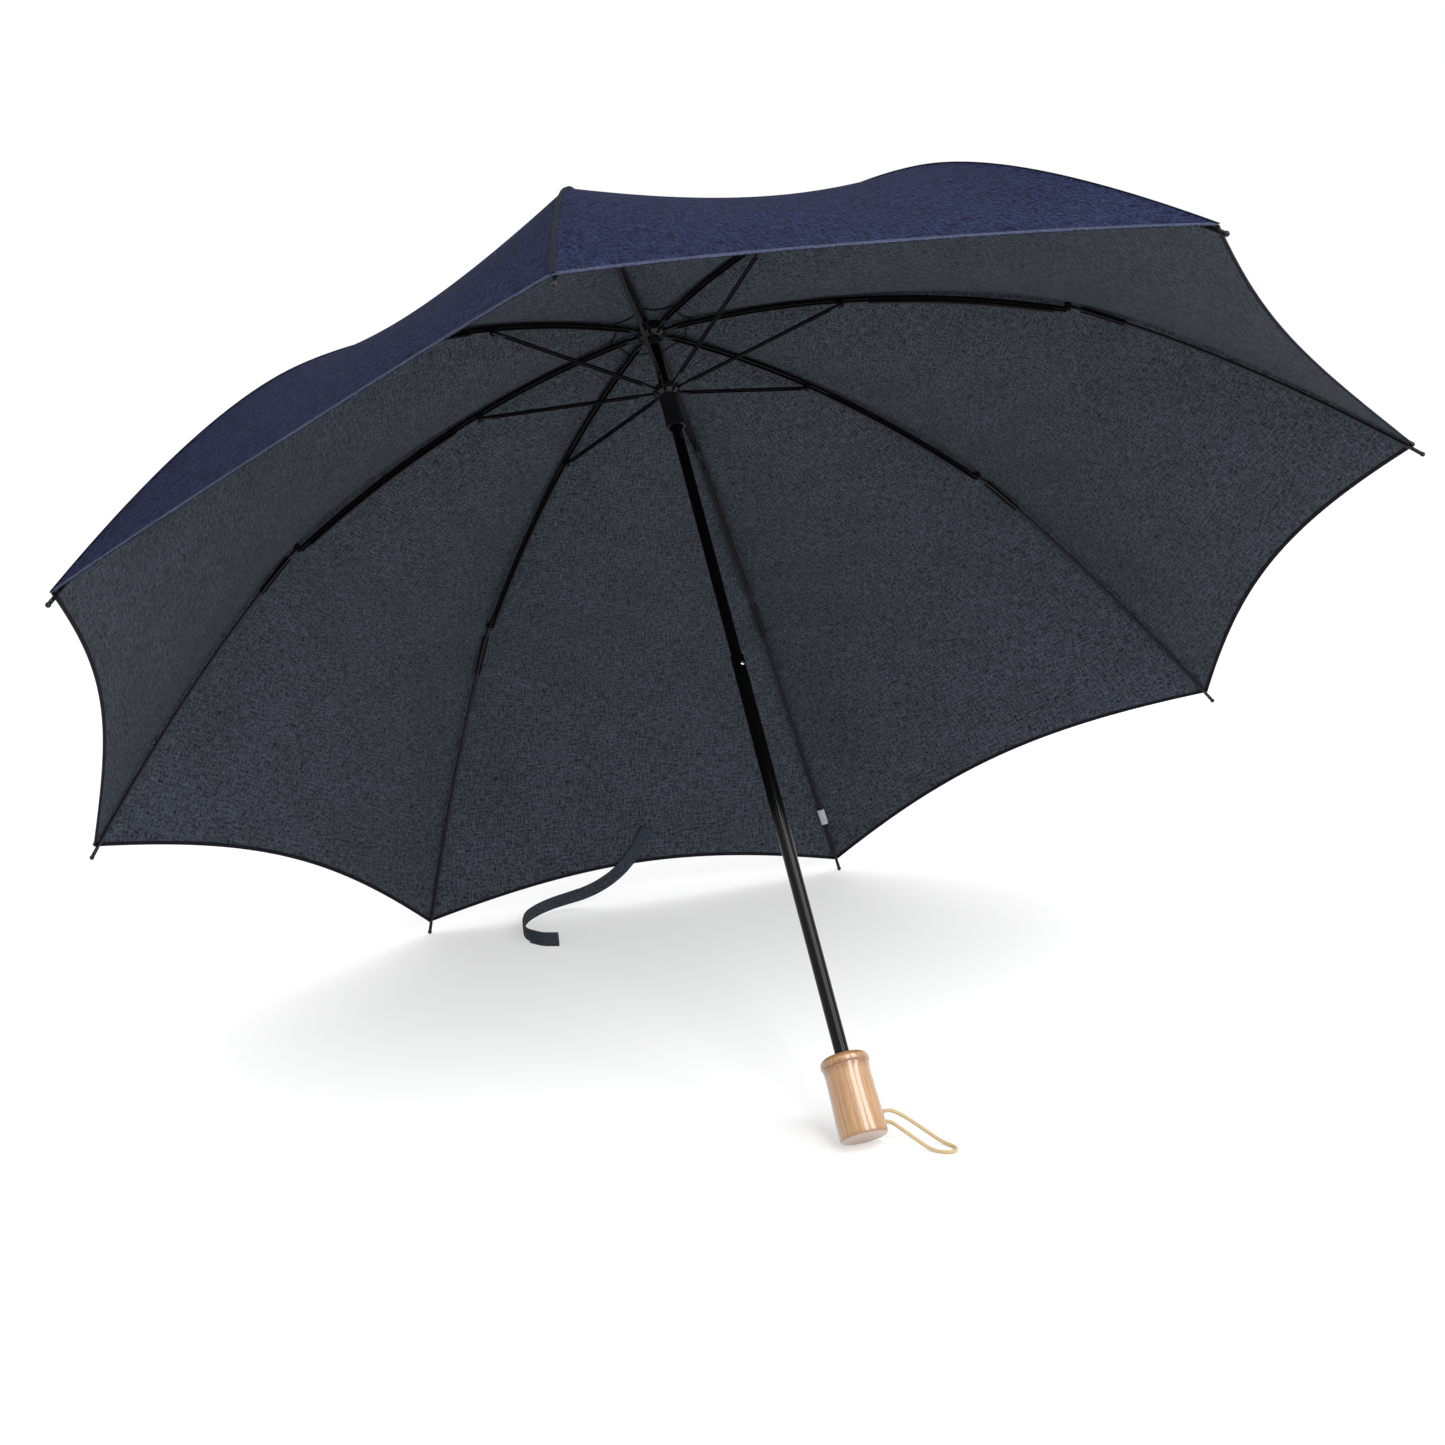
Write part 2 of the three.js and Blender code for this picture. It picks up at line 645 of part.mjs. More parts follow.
place(
  "wrist_loop",
  sweep(
    roundOutline(cordRadius, 8),
    new THREE.CatmullRomCurve3(vectors(wristLoopRoute)),
    1.5 * (wristLoopRoute.length - 1),
  ),
  goldenCord,
  standing,
);
const sewnOn = outerFabric.getPoint(1 - (rimScallop + strapInset) / outerFabric.getLength());
const strapStart = new THREE.Vector3(0, sewnOn.x * Math.cos(half), crownHeight + sewnOn.y)
  .applyAxisAngle(new THREE.Vector3(1, 0, 0), -lean)
  .add(shaft.position);
const tabSize = { width: strapWidth + 1, thickness: strapThickness + 1.2 };
const lying = tabSize.width / 2 + 0.5; // height of the middle of a band that lies on its edge
const fromStart = (route) =>
  route.map(([x, y, share]) => [x, strapStart.y + y, lying + share * (strapStart.z - lying)]);
const strapLine = fromStart(strapRoute);
place("strap", band(strapLine, strapWidth, strapThickness, strapLine.length - 1), denim, standing);
place("strap_tab", band(fromStart(strapTabRoute), tabSize.width, tabSize.thickness, 3), denim, standing);

// The origin is on the floor, under the middle of everything but the loop.
umbrella.updateMatrixWorld(true);
const bounds = new THREE.Box3();
umbrella.traverse((o) => {
  if (o.isMesh && o.name !== "wrist_loop") bounds.expandByObject(o, true);
});
const middle = bounds.getCenter(new THREE.Vector3());
standing.position.set(-middle.x, -middle.y, -bounds.min.z);
umbrella.updateMatrixWorld(true);

// ---- Joints, in the part's frame, with lengths in millimetres and angles in radians --------------
const inFrame = (frame, p) => frame.localToWorld(new THREE.Vector3(p.x, 0, p.y));
const turnedBy = (frame, v) => v.clone().transformDirection(frame.matrixWorld);
const upwards = turnedBy(shaft, new THREE.Vector3(0, 0, 1));
const buttonAxis = turnedBy(lockButton, new THREE.Vector3(-1, 0, 0));
umbrella.userData = {
  upwards,
  middle: standing.position.clone(),
  footFace: shaft.localToWorld(new THREE.Vector3()),
  lean,
  joints: [
    { name: "runner_slide", parent: "shaft", child: "runner", axis: upwards, range: [-runnerTravel, 0] },
    { name: "shaft_slide", parent: "grip", child: "shaft", axis: upwards, range: [-shaftTravel, 0] },
    { name: "lock_button_press", parent: "shaft", child: "lock_button", axis: buttonAxis, range: [0, 1] },
    { name: "catch_press", parent: "shaft", child: "catch", axis: buttonAxis, range: [0, 1.6] },
    ...ribs.flatMap((rib, k) => {
      const across = turnedBy(rib, new THREE.Vector3(0, 1, 0));
      const chord = knee.clone().sub(elbow).normalize();
      const linkAxis = turnedBy(rib, new THREE.Vector3(-chord.x, 0, -chord.y));
      const hinge = (name, parent, child, p, turn) => ({
        name: `${name}_${k}`, parent, child: `${child}_${k}`, axis: across,
        pos: inFrame(rib, p), range: [Math.min(0, turn), Math.max(0, turn)], full: turn,
      });
      return [
        hinge("notch_hinge", "shaft", "inner_rib", rootPivot, ribSwing),
        hinge("elbow_hinge", `inner_rib_${k}`, "stretcher", elbow, -2 * ribSwing),
        hinge("knee_hinge", `inner_rib_${k}`, "outer_rib", knee, -outerFold),
        {
          name: `link_slide_${k}`, parent: `inner_rib_${k}`, child: `link_rod_${k}`,
          axis: linkAxis, range: [0, linkTravel], full: linkTravel,
        },
      ];
    }),
  ],
};

export default umbrella;
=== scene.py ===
# The looks of a two-fold telescopic umbrella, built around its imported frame. Shapes are drawn in
# millimetres, in the shaft's own frame or in a rib's, and carried into the row frame in metres.
import json
import math

import bpy
import numpy as np
from mathutils import Matrix, Vector

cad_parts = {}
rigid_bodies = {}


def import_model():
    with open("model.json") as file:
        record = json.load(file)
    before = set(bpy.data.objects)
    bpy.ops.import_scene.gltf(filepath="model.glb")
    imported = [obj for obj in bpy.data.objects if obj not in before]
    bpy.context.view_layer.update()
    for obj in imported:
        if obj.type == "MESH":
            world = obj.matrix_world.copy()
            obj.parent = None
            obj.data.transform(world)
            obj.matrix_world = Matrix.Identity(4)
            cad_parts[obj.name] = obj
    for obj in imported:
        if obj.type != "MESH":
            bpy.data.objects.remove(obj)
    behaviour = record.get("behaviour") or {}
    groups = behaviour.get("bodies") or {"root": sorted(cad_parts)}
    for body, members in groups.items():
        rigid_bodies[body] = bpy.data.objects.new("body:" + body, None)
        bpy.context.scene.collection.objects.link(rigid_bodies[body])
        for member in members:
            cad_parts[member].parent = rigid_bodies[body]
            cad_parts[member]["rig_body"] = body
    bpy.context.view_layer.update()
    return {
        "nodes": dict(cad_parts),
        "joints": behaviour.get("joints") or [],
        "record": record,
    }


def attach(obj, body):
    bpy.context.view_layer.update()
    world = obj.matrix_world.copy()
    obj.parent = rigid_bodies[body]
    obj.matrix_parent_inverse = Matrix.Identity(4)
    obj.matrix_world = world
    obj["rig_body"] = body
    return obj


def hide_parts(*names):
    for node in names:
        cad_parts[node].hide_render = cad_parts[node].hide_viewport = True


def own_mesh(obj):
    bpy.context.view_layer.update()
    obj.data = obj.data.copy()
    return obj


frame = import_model()

# ---- The frame's own measures -------------------------------------------------------------------
MM = 0.001
JOINTS = {j["name"]: j for j in frame["joints"]}
MOUNT = frame["record"]["mounts"][0]
FOOT = Vector(MOUNT["pos_m"])  # middle of the handle's end
UP = -Vector(MOUNT["axis"])  # along the shaft
ACROSS = Vector((1, 0, 0))
BACK = UP.cross(ACROSS)
RIBS = 8
HALF = math.pi / RIBS  # from a rib to the middle of its panel
FIRST_RIB = math.radians(202.5)


def columns(x, y, z, origin):
    m = Matrix.Identity(4)
    for i, v in enumerate((x, y, z, origin)):
        for j in range(3):
            m[j][i] = v[j]
    return m


SHAFT = columns(ACROSS, BACK, UP, FOOT) @ Matrix.Scale(MM, 4)  # shaft's frame in mm to the row
FLOOR = Matrix.Translation((FOOT.x, FOOT.y, 0)) @ Matrix.Scale(MM, 4)


def on_shaft(name):
    """(distance from the shaft's axis, height above the handle's end) of a hinge, in mm."""
    v = Vector(JOINTS[name]["pos_m"]) - FOOT
    height = v.dot(UP)
    return (v - UP * height).length / MM, height / MM


pivot_radius, crown = on_shaft("notch_hinge_0")
knee_radius, knee_height = on_shaft("knee_hinge_0")
elbow_radius, elbow_height = on_shaft("elbow_hinge_0")
KNEE = np.array([knee_radius, knee_height - crown])
ELBOW = np.array([elbow_radius, elbow_height - crown])
ROOT = np.array([pivot_radius, 0.0])


def rib_frame(k):
    turn = Matrix.Rotation(FIRST_RIB - 2 * HALF * k, 4, "Z")
    return SHAFT @ Matrix.Translation((0, 0, crown)) @ turn


# ---- Sizes that the frame doesn't hold, in mm ----------------------------------------------------
CORNER = np.array([487.0, -274.0])  # fabric's corner, in a rib's plane
FABRIC = 0.5
CROWN_HOLE, CROWN_LIFT = 7.0, 6.5
SCALLOP = 20.0
TIP_REACH = 8.5
RIB_WIDTH, RIB_HEIGHT = 3.9, 3.0  # a rib's channel
ROD_UNDER = 2.7  # fabric over the outer rib's centre line
UPPER_R, LOWER_R, WALL = 3.95, 4.85, 0.55
LOWER_TOP, UPPER_END = crown - 278, crown - 308
LOCK_AT = crown - 286  # the lock button's height
SPRING_SIDE = math.radians(-75)  # the side of the shaft that the lock button is on
TAG_RIB, TAG_FROM, TAG_TO = 3, 34, 25  # its rib, and its ends in from the fabric's corner
HANDLE_R, HANDLE_L, SOCKET = 16.0, 55.0, 43.0

# ---- Camera, light and floor ---------------------------------------------------------------------
CAMERA_AT = (-0.4267, -1.4506, 0.5987)
CAMERA_TURN, CAMERA_TILT, CAMERA_ROLL = -15.92, -13.43, -3.85  # degrees
CAMERA_FOCAL = 2187.3 / 1445  # in picture widths


def make_camera():
    turn, tilt, roll = (math.radians(a) for a in (CAMERA_TURN, CAMERA_TILT, CAMERA_ROLL))
    flat = math.cos(tilt)
    look = Vector((-math.sin(turn) * flat, math.cos(turn) * flat, math.sin(tilt)))
    level = Vector((math.cos(turn), math.sin(turn), 0))
    over = level.cross(look)
    right = level * math.cos(roll) + over * math.sin(roll)
    data = bpy.data.cameras.new("camera")
    data.sensor_width = 36
    data.lens = 36 * CAMERA_FOCAL
    data.clip_start = 0.05
    camera = bpy.data.objects.new("camera", data)
    bpy.context.scene.collection.objects.link(camera)
    camera.matrix_world = columns(right, right.cross(look), -look, Vector(CAMERA_AT))
    bpy.context.scene.camera = camera


def make_light(name, at, to, size, power):
    data = bpy.data.lights.new(name, "AREA")
    data.shape = "RECTANGLE"
    data.size, data.size_y = size
    data.energy = power
    light = bpy.data.objects.new(name, data)
    bpy.context.scene.collection.objects.link(light)
    light.location = at
    light.rotation_euler = (Vector(to) - Vector(at)).to_track_quat("-Z", "Y").to_euler()
    return light


def make_studio():
    scene = bpy.context.scene
    scene.view_settings.view_transform = "Standard"
    world = bpy.data.worlds.new("studio")
    scene.world = world
    world.use_nodes = True
    background = world.node_tree.nodes["Background"]
    background.inputs["Color"].default_value = (1, 1, 1, 1)
    background.inputs["Strength"].default_value = 1.0
    middle = Vector((0, 0.1, 0.3))
    # the way that the grip's front mirrors the camera
    above = FOOT + 1.7 * Vector((0.3, -0.61, 0.734))
    aside = Vector((0.897, 0.441, 0))
    for name, offset in (("softbox_left", -0.42), ("softbox_right", 0.42)):
        make_light(name, above + aside * offset, FOOT, (0.5, 1.3), 15)
    make_light("top", (-0.8, -1.0, 2.6), middle, (1.8, 1.8), 14)
    make_light("rim", (2.2, 1.4, 2.0), middle, (1.2, 1.6), 10)
    bpy.ops.mesh.primitive_plane_add(size=40, location=(0, 0, 0))
    floor = bpy.context.object
    floor.name = "floor"
    pale = Nodes("floor")
    pale.set(Base_Color=(0.62, 0.62, 0.62), Roughness=0.9, Specular_IOR_Level=0.0)
    pale.set(Emission_Color=(1, 1, 1), Emission_Strength=0.42)
    floor.data.materials.append(pale.material)


# ---- Materials -----------------------------------------------------------------------------------
def linear(r, g, b):
    """An sRGB colour, 0 to 255, as the linear one that a shader takes."""
    return tuple(
        c / 12.92 if c <= 0.04045 else ((c + 0.055) / 1.055) ** 2.4
        for c in (r / 255, g / 255, b / 255)
    )


class Nodes:
    """A material's nodes, made and joined in one call each."""

    def __init__(self, name):
        self.material = bpy.data.materials.new(name)
        self.material.use_nodes = True
        self.tree = self.material.node_tree
        self.shader = self.tree.nodes["Principled BSDF"]

    def add(self, kind, **inputs):
        node = self.tree.nodes.new("ShaderNode" + kind)
        for key, value in inputs.items():
            if key[0].isupper() or " " in key:
                self.put(node.inputs[key.replace("_", " ")], value)
            else:
                setattr(node, key, value)
        return node

    def put(self, socket, value):
        if hasattr(value, "links"):
            self.tree.links.new(value, socket)
        elif hasattr(value, "__len__") and socket.type == "RGBA":
            socket.default_value = (*value[:3], 1)
        else:
            socket.default_value = value

    def set(self, **inputs):
        for key, value in inputs.items():
            self.put(self.shader.inputs[key.replace("_", " ")], value)

    def math(self, operation, a, b=0.0):
        node = self.add("Math", operation=operation)
        self.put(node.inputs[0], a)
        self.put(node.inputs[1], b)
        return node.outputs[0]

    def mix(self, share, a, b, blend="MIX"):
        node = self.add("Mix", data_type="RGBA", blend_type=blend)
        self.put(node.inputs[0], share)
        self.put(node.inputs[6], a)
        self.put(node.inputs[7], b)
        return node.outputs[2]

    def noise(self, scale, detail=2.0, stretch=(1, 1, 1), roughness=0.5, source="object"):
        mapping = self.add("Mapping", Scale=stretch)
        self.put(mapping.inputs["Vector"], self.place(source))
        node = self.add("TexNoise", Scale=scale, Detail=detail, Roughness=roughness)
        self.put(node.inputs["Vector"], mapping.outputs[0])
        return node.outputs["Fac"]

    def place(self, source):
        node = self.add("TexCoord")
        return node.outputs["UV" if source == "uv" else "Object"]

    def ramp(self, value, *stops):
        node = self.add("ValToRGB")
        elements = node.color_ramp.elements
        while len(elements) < len(stops):
            elements.new(0.5)
        for element, (at, colour) in zip(elements, stops):
            element.position = at
            element.color = (*colour, 1) if hasattr(colour, "__len__") else (colour,) * 3 + (1,)
        self.put(node.inputs[0], value)
        return node.outputs[0]

    def bump(self, height, strength, distance):
        node = self.add("Bump", Strength=strength, Distance=distance)
        self.put(node.inputs["Height"], height)
        self.put(self.shader.inputs["Normal"], node.outputs[0])


def denim(name, dark, light, fleck, twill, spread=0.1, size=1.0, shine=0.15):
    """Twill cloth: threads in UV millimetres, slubs, and a melange of dark and light."""
    n = Nodes(name)
    split = n.add("SeparateXYZ")
    n.put(split.inputs[0], n.place("uv"))
    x, y = split.outputs[0], split.outputs[1]
    thread = 2 * math.pi / 0.62
    warp = n.math("SINE", n.math("MULTIPLY", x, thread))
    weft = n.math("SINE", n.math("MULTIPLY", y, thread))
    diagonal = n.math("SINE", n.math("MULTIPLY", n.math("ADD", x, y), 0.5 * thread))
    weave = n.math("ADD", n.math("MULTIPLY", warp, weft), n.math("MULTIPLY", diagonal, 0.8))
    slub_y = n.noise(1.0 / size, 2, (0.62, 0.11, 1), 0.6, "uv")
    slub_x = n.noise(1.0 / size, 2, (0.11, 0.62, 1), 0.6, "uv")
    grain = n.noise(0.52 / size, 3, (1, 1, 1), 0.75, "uv")
    cloud = n.noise(0.02, 3, (1, 1, 1), 0.55, "uv")
    melange = n.math("ADD", n.math("MULTIPLY", slub_y, 0.25), n.math("MULTIPLY", slub_x, 0.25))
    melange = n.math("ADD", melange, n.math("MULTIPLY", grain, 0.5))
    colour = n.ramp(melange, (0.5 - spread, dark), (0.5 + spread, light))
    speck = n.ramp(n.noise(0.8 / size, 2, (1, 1, 1), 0.6, "uv"), (0.6, 0.0), (0.72, 1.0))
    colour = n.mix(n.math("MULTIPLY", speck, 0.4), colour, fleck)
    shade = n.ramp(cloud, (0.3, 0.9), (0.7, 1.1))
    colour = n.mix(1.0, colour, shade, "MULTIPLY")
    woven = n.math("ADD", n.math("MULTIPLY", weave, 0.25), 0.5)
    woven = n.ramp(woven, (0.0, 1 - twill), (1.0, 1 + twill))
    colour = n.mix(1.0, colour, woven, "MULTIPLY")
    n.set(Base_Color=colour, Roughness=0.92, Specular_IOR_Level=shine)
    n.bump(n.math("ADD", weave, n.math("MULTIPLY", melange, 2.0)), 0.35, 0.00012)
    return n.material


def lacquer(name, colour, roughness, coat, ripple, shine=0.12):
    n = Nodes(name)
    worn = n.noise(900, 3, (1, 1, 1), 0.6)
    rough = n.ramp(worn, (0.3, roughness * 0.8), (0.7, roughness * 1.3))
    n.set(Base_Color=colour, Roughness=rough, Coat_Weight=coat, Coat_Roughness=0.06)
    n.set(Specular_IOR_Level=shine)
    n.bump(n.noise(260, 2, (1, 1, 1), 0.5), ripple, 0.00005)
    return n.material


def bamboo():
    """Varnished bamboo: long fibres down the grip, darker flecks, and stain at both ends."""
    n = Nodes("bamboo")
    split = n.add("SeparateXYZ")
    n.put(split.inputs[0], n.place("uv"))
    height = split.outputs[1]
    fibre = n.noise(1.0, 4, (5.2, 0.035, 1), 0.65, "uv")
    streak = n.noise(1.0, 3, (1.1, 0.02, 1), 0.55, "uv")
    colour = n.ramp(
        n.math("ADD", n.math("MULTIPLY", fibre, 0.5), n.math("MULTIPLY", streak, 0.5)),
        (0.34, linear(110, 74, 42)),
        (0.5, linear(158, 118, 76)),
        (0.66, linear(190, 152, 108)),
    )
    edge = n.noise(0.35, 3, (1, 1, 1), 0.6, "uv")
    wobble = n.math("MULTIPLY", n.math("SUBTRACT", edge, 0.5), 5.0)
    level = n.math("ADD", height, wobble)
    top = n.ramp(n.math("DIVIDE", level, 60.0), (0.7, 0.0), (0.77, 0.7), (0.8, 1.0), (0.85, 0.15))
    foot = n.ramp(n.math("DIVIDE", level, 60.0), (0.0, 0.75), (0.055, 0.0))
    mottle = n.ramp(n.noise(0.55, 4, (1, 1, 1), 0.7, "uv"), (0.35, 0.35), (0.6, 1.0))
    stain = n.math("MULTIPLY", n.math("MAXIMUM", top, foot), mottle)
    colour = n.mix(n.math("MULTIPLY", stain, 0.8), colour, linear(96, 52, 26))
    n.set(Base_Color=colour, Roughness=0.34, Coat_Weight=1.0, Coat_Roughness=0.07, Coat_IOR=1.5)
    n.bump(fibre, 0.12, 0.0002)
    return n.material


def braid(name, dark, light):
    """A braided cord: two crossing helices of strands, in millimetres round and along it."""
    n = Nodes(name)
    split = n.add("SeparateXYZ")
    n.put(split.inputs[0], n.place("uv"))
    around = n.math("MULTIPLY", split.outputs[0], 2 * math.pi * 6)
    along = n.math("MULTIPLY", split.outputs[1], 2 * math.pi / 0.9)
    one = n.math("SINE", n.math("ADD", around, along))
    two = n.math("SINE", n.math("SUBTRACT", around, along))
    cross = n.math("MAXIMUM", one, two)
    colour = n.ramp(n.math("ADD", n.math("MULTIPLY", cross, 0.5), 0.5), (0.35, dark), (0.95, light))
    n.set(Base_Color=colour, Roughness=0.75, Sheen_Weight=0.3, Sheen_Roughness=0.4)
    n.bump(cross, 0.5, 0.0002)
    return n.material


def steel(name):
    n = Nodes(name)
    rough = n.ramp(n.noise(1500, 2, (1, 1, 0.1), 0.5), (0.3, 0.14), (0.7, 0.3))
    n.set(Base_Color=(0.78, 0.78, 0.79), Metallic=1.0, Roughness=rough)
    return n.material


def clear(name):
    n = Nodes(name)
    fog = n.ramp(n.noise(420, 3, (1, 1, 1), 0.6), (0.35, 0.12), (0.7, 0.4))
    n.set(Base_Color=linear(176, 180, 184), Roughness=fog, Transmission_Weight=0.2, IOR=1.46)
    return n.material


OUTSIDE = denim(
    "denim_outside", linear(8, 11, 25), linear(34, 41, 69), linear(70, 76, 100),
    twill=0.1, spread=0.07, size=1.3, shine=0.04,
)
INSIDE = denim(
    "denim_inside", linear(6, 9, 17), linear(71, 76, 85), linear(102, 99, 104),
    twill=0.1, spread=0.1, size=0.95,
)
# a dark denim for the hem, the seams and the patch's bindings: painted shade along the rim's roll,
# beside the seams and at the patch's edges
PAINTED_SHADE = denim("denim_hem", linear(6, 7, 12), linear(24, 26, 34), linear(44, 46, 54), 0.1)
# a lighter denim for the upper faces of the hem's fold: a painted highlight where light falls on the
# rolled rim
PAINTED_HIGHLIGHT = denim("denim_worn_edge", linear(26, 32, 52), linear(66, 72, 94), linear(110, 114, 130), 0.1)
RIBBON = denim("ribbon", linear(30, 35, 42), linear(60, 66, 75), linear(80, 84, 92), 0.2)
TUBE = lacquer("black_tube", (0.0012, 0.0012, 0.0012), 0.13, 0.1, 0.02)
RIB = lacquer("black_rib", (0.003, 0.003, 0.0035), 0.32, 0.05, 0.1, 0.2)
PLASTIC = lacquer("black_plastic", (0.008, 0.008, 0.009), 0.42, 0.2, 0.25)
WOOD = bamboo()
CORD = braid("braided_cord", linear(136, 108, 66), linear(204, 182, 138))
BRIGHT = steel("bright_steel")
CLEAR = clear("clear_plastic")


# ---- Mesh building -------------------------------------------------------------------------------
class Shape:
    """Points in mm, faces with a material index each, and a UV for each face's corners."""

    def __init__(self):
        self.points, self.faces, self.slots, self.uvs = [], [], [], []

    def add(self, points, faces, slot=0, uvs=None):
        """uvs holds one (u, v) for each point, or None."""
        base = len(self.points)
        self.points += [tuple(float(c) for c in p) for p in points]
        for f in faces:
            self.faces.append([base + i for i in f])
            self.slots.append(slot)
            self.uvs.append([(0.0, 0.0) if uvs is None else tuple(uvs[i]) for i in f])
        return self

    def object(self, name, matrix, materials, sharp=38, body=None, slot=None, replaces=()):
        mesh = bpy.data.meshes.new(name)
        mesh.from_pydata([matrix @ Vector(p) for p in self.points], [], self.faces)
        layer = mesh.uv_layers.new(name="mm")
        flat = [c for face in self.uvs for uv in face for c in uv]
        layer.data.foreach_set("uv", flat)
        for m in materials:
            mesh.materials.append(m)
        mesh.polygons.foreach_set("material_index", self.slots)
        mesh.polygons.foreach_set("use_smooth", [True] * len(mesh.polygons))
        mesh.update()
        mesh.set_sharp_from_angle(angle=math.radians(sharp))
        piece = bpy.data.objects.new(name, mesh)
        bpy.context.scene.collection.objects.link(piece)
        if body:
            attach(piece, body)
        if replaces:
            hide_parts(*replaces)
        return piece


def turned(shape, outline, segments=96, slot=0, axis=(0, 0), closed=False):
    """An outline of (radius, height) turned about Z. Ends on the axis close themselves."""
    points, uvs, rings = [], [], []
    for r, h in outline:
        if r < 1e-6:
            rings.append([len(points)])
            points.append((axis[0], axis[1], h))
            uvs.append((0.0, h))
            continue
        rings.append(list(range(len(points), len(points) + segments)))
        for i in range(segments):
            a = 2 * math.pi * i / segments
            points.append((axis[0] + r * math.cos(a), axis[1] + r * math.sin(a), h))
            uvs.append((abs((i / segments) * 2 - 1) * math.pi * r, h))
    pairs = list(zip(rings, rings[1:])) + ([(rings[-1], rings[0])] if closed else [])
    faces = []
    for low, high in pairs:
        for i in range(segments):
            j = (i + 1) % segments
            if len(low) == 1 and len(high) == 1:
                continue
            if len(low) == 1:
                faces.append((low[0], high[j], high[i]))
            elif len(high) == 1:
                faces.append((low[i], low[j], high[0]))
            else:
                faces.append((low[i], low[j], high[j], high[i]))
    return shape.add(points, faces, slot, uvs)


def rounded(outline, radius, steps=4):
    """An open outline with each inner corner rounded."""
    result = [outline[0]]
    for a, b, c in zip(outline, outline[1:], outline[2:]):
        a, b, c = (np.array(p, float) for p in (a, b, c))
        before, after = a - b, c - b
        reach = min(radius, 0.45 * np.linalg.norm(before), 0.45 * np.linalg.norm(after))
        p = b + before / np.linalg.norm(before) * reach
        q = b + after / np.linalg.norm(after) * reach
        for i in range(steps + 1):
            t = i / steps
            result.append(tuple((1 - t) ** 2 * p + 2 * t * (1 - t) * b + t * t * q))
    return result + [outline[-1]]


def swept(shape, section, line, side=(0, 1, 0), slot=0, caps=True):
    """A closed section of (across, over) carried along a line of points. Across is along side."""
    line = np.array(line, float)
    tangents = np.gradient(line, axis=0)
    tangents /= np.linalg.norm(tangents, axis=1)[:, None]
    side = np.array(side, float)
    long = np.concatenate([[0], np.cumsum(np.linalg.norm(np.diff(line, axis=0), axis=1))])
    points, uvs = [], []
    edge = np.linalg.norm(np.diff(np.array([*section, section[0]]), axis=0), axis=1)
    around = np.concatenate([[0], np.cumsum(edge)])
    for p, t, at in zip(line, tangents, long):
        s = side - t * (side @ t)
        s /= np.linalg.norm(s)
        over = np.cross(t, s)
        for (u, v), a in zip(section, around):
            points.append(p + s * u + over * v)
            uvs.append((a, at))
    n = len(section)
    faces = []
    for i in range(len(line) - 1):
        for j in range(n):
            k = (j + 1) % n
            faces.append((i * n + j, i * n + k, (i + 1) * n + k, (i + 1) * n + j))
    if caps:
        faces.append(tuple(reversed(range(n))))
        faces.append(tuple(range((len(line) - 1) * n, len(line) * n)))
    return shape.add(points, faces, slot, uvs)


def disc(radius, sides):
    return [
        (radius * math.cos(2 * math.pi * i / sides), radius * math.sin(2 * math.pi * i / sides))
        for i in range(sides)
    ]


def plate(shape, outline, thickness, y=0.0, slot=0):
    """An outline of (x, z) in a rib's plane, as thick as given along y, with its edges eased."""
    ease = min(0.15, 0.3 * thickness)
    middle = np.mean(np.array(outline, float), axis=0)
    h = thickness / 2
    layers = [(-h, ease), (ease - h, 0), (h - ease, 0), (h, ease)]
    points = []
    for depth, inset in layers:
        for x, z in outline:
            d = np.array([x, z]) - middle
            d *= 1 - inset / max(np.linalg.norm(d), inset * 2)
            points.append((middle[0] + d[0], y + depth, middle[1] + d[1]))
    n = len(outline)
    faces = [tuple(range(n)), tuple(reversed(range(3 * n, 4 * n)))]
    for layer in range(3):
        for i in range(n):
            j = (i + 1) % n
            faces.append((layer * n + j, layer * n + i, (layer + 1) * n + i, (layer + 1) * n + j))
    return shape.add(points, faces, slot)


def tab(p, q, radius, sides=12):
    """An outline round p that reaches to q."""
    along = (q - p) / np.linalg.norm(q - p)
    side = np.array([-along[1], along[0]]) * radius
    turn = math.atan2(along[1], along[0])
    arc = [
        p + radius * np.array([math.cos(a), math.sin(a)])
        for a in (turn + math.pi / 2 + math.pi * i / sides for i in range(sides + 1))
    ]
    return [q - side, q + side, *arc]


def rivet(shape, p, length, radius=0.75, slot=0):
    """A domed pin across a rib's plane at p."""
    h = length / 2
    r = radius
    outline = [(0, -h - 0.35), (r * 0.6, -h - 0.3), (r, -h), (r, h), (r * 0.6, h + 0.3), (0, h + 0.35)]
    part = Shape()
    turned(part, outline, 16)
    points = [(x + p[0], z, -y + p[1]) for x, y, z in part.points]
    return shape.add(points, part.faces, slot)


# ---- Curves of an open rib, in its own plane ------------------------------------------------------
def bow(a, slope_a, b, slope_b):
    """The curve from a to b that leaves and arrives at two slopes below the horizontal."""
    ta, tb = math.tan(math.radians(slope_a)), math.tan(math.radians(slope_b))
    x = (b[1] - a[1] + tb * b[0] - ta * a[0]) / (tb - ta)
    middle = np.array([x, a[1] - ta * (x - a[0])])
    a, b = np.array(a, float), np.array(b, float)

    def curve(t):
        t = np.asarray(t, float)[..., None]
        return (1 - t) ** 2 * a + 2 * t * (1 - t) * middle + t * t * b

    return curve


def over(degrees):
    return np.array([math.sin(math.radians(degrees)), math.cos(math.radians(degrees))])


def along(degrees):
    return np.array([math.cos(math.radians(degrees)), -math.sin(math.radians(degrees))])


def reach(curve, x):
    """The curve's parameter at a distance x from the shaft's axis."""
    t = np.linspace(0, 1, 2001)
    return float(np.interp(x, curve(t)[:, 0], t))


def chord_slope(a, b):
    return math.degrees(math.atan2(a[1] - b[1], b[0] - a[0]))


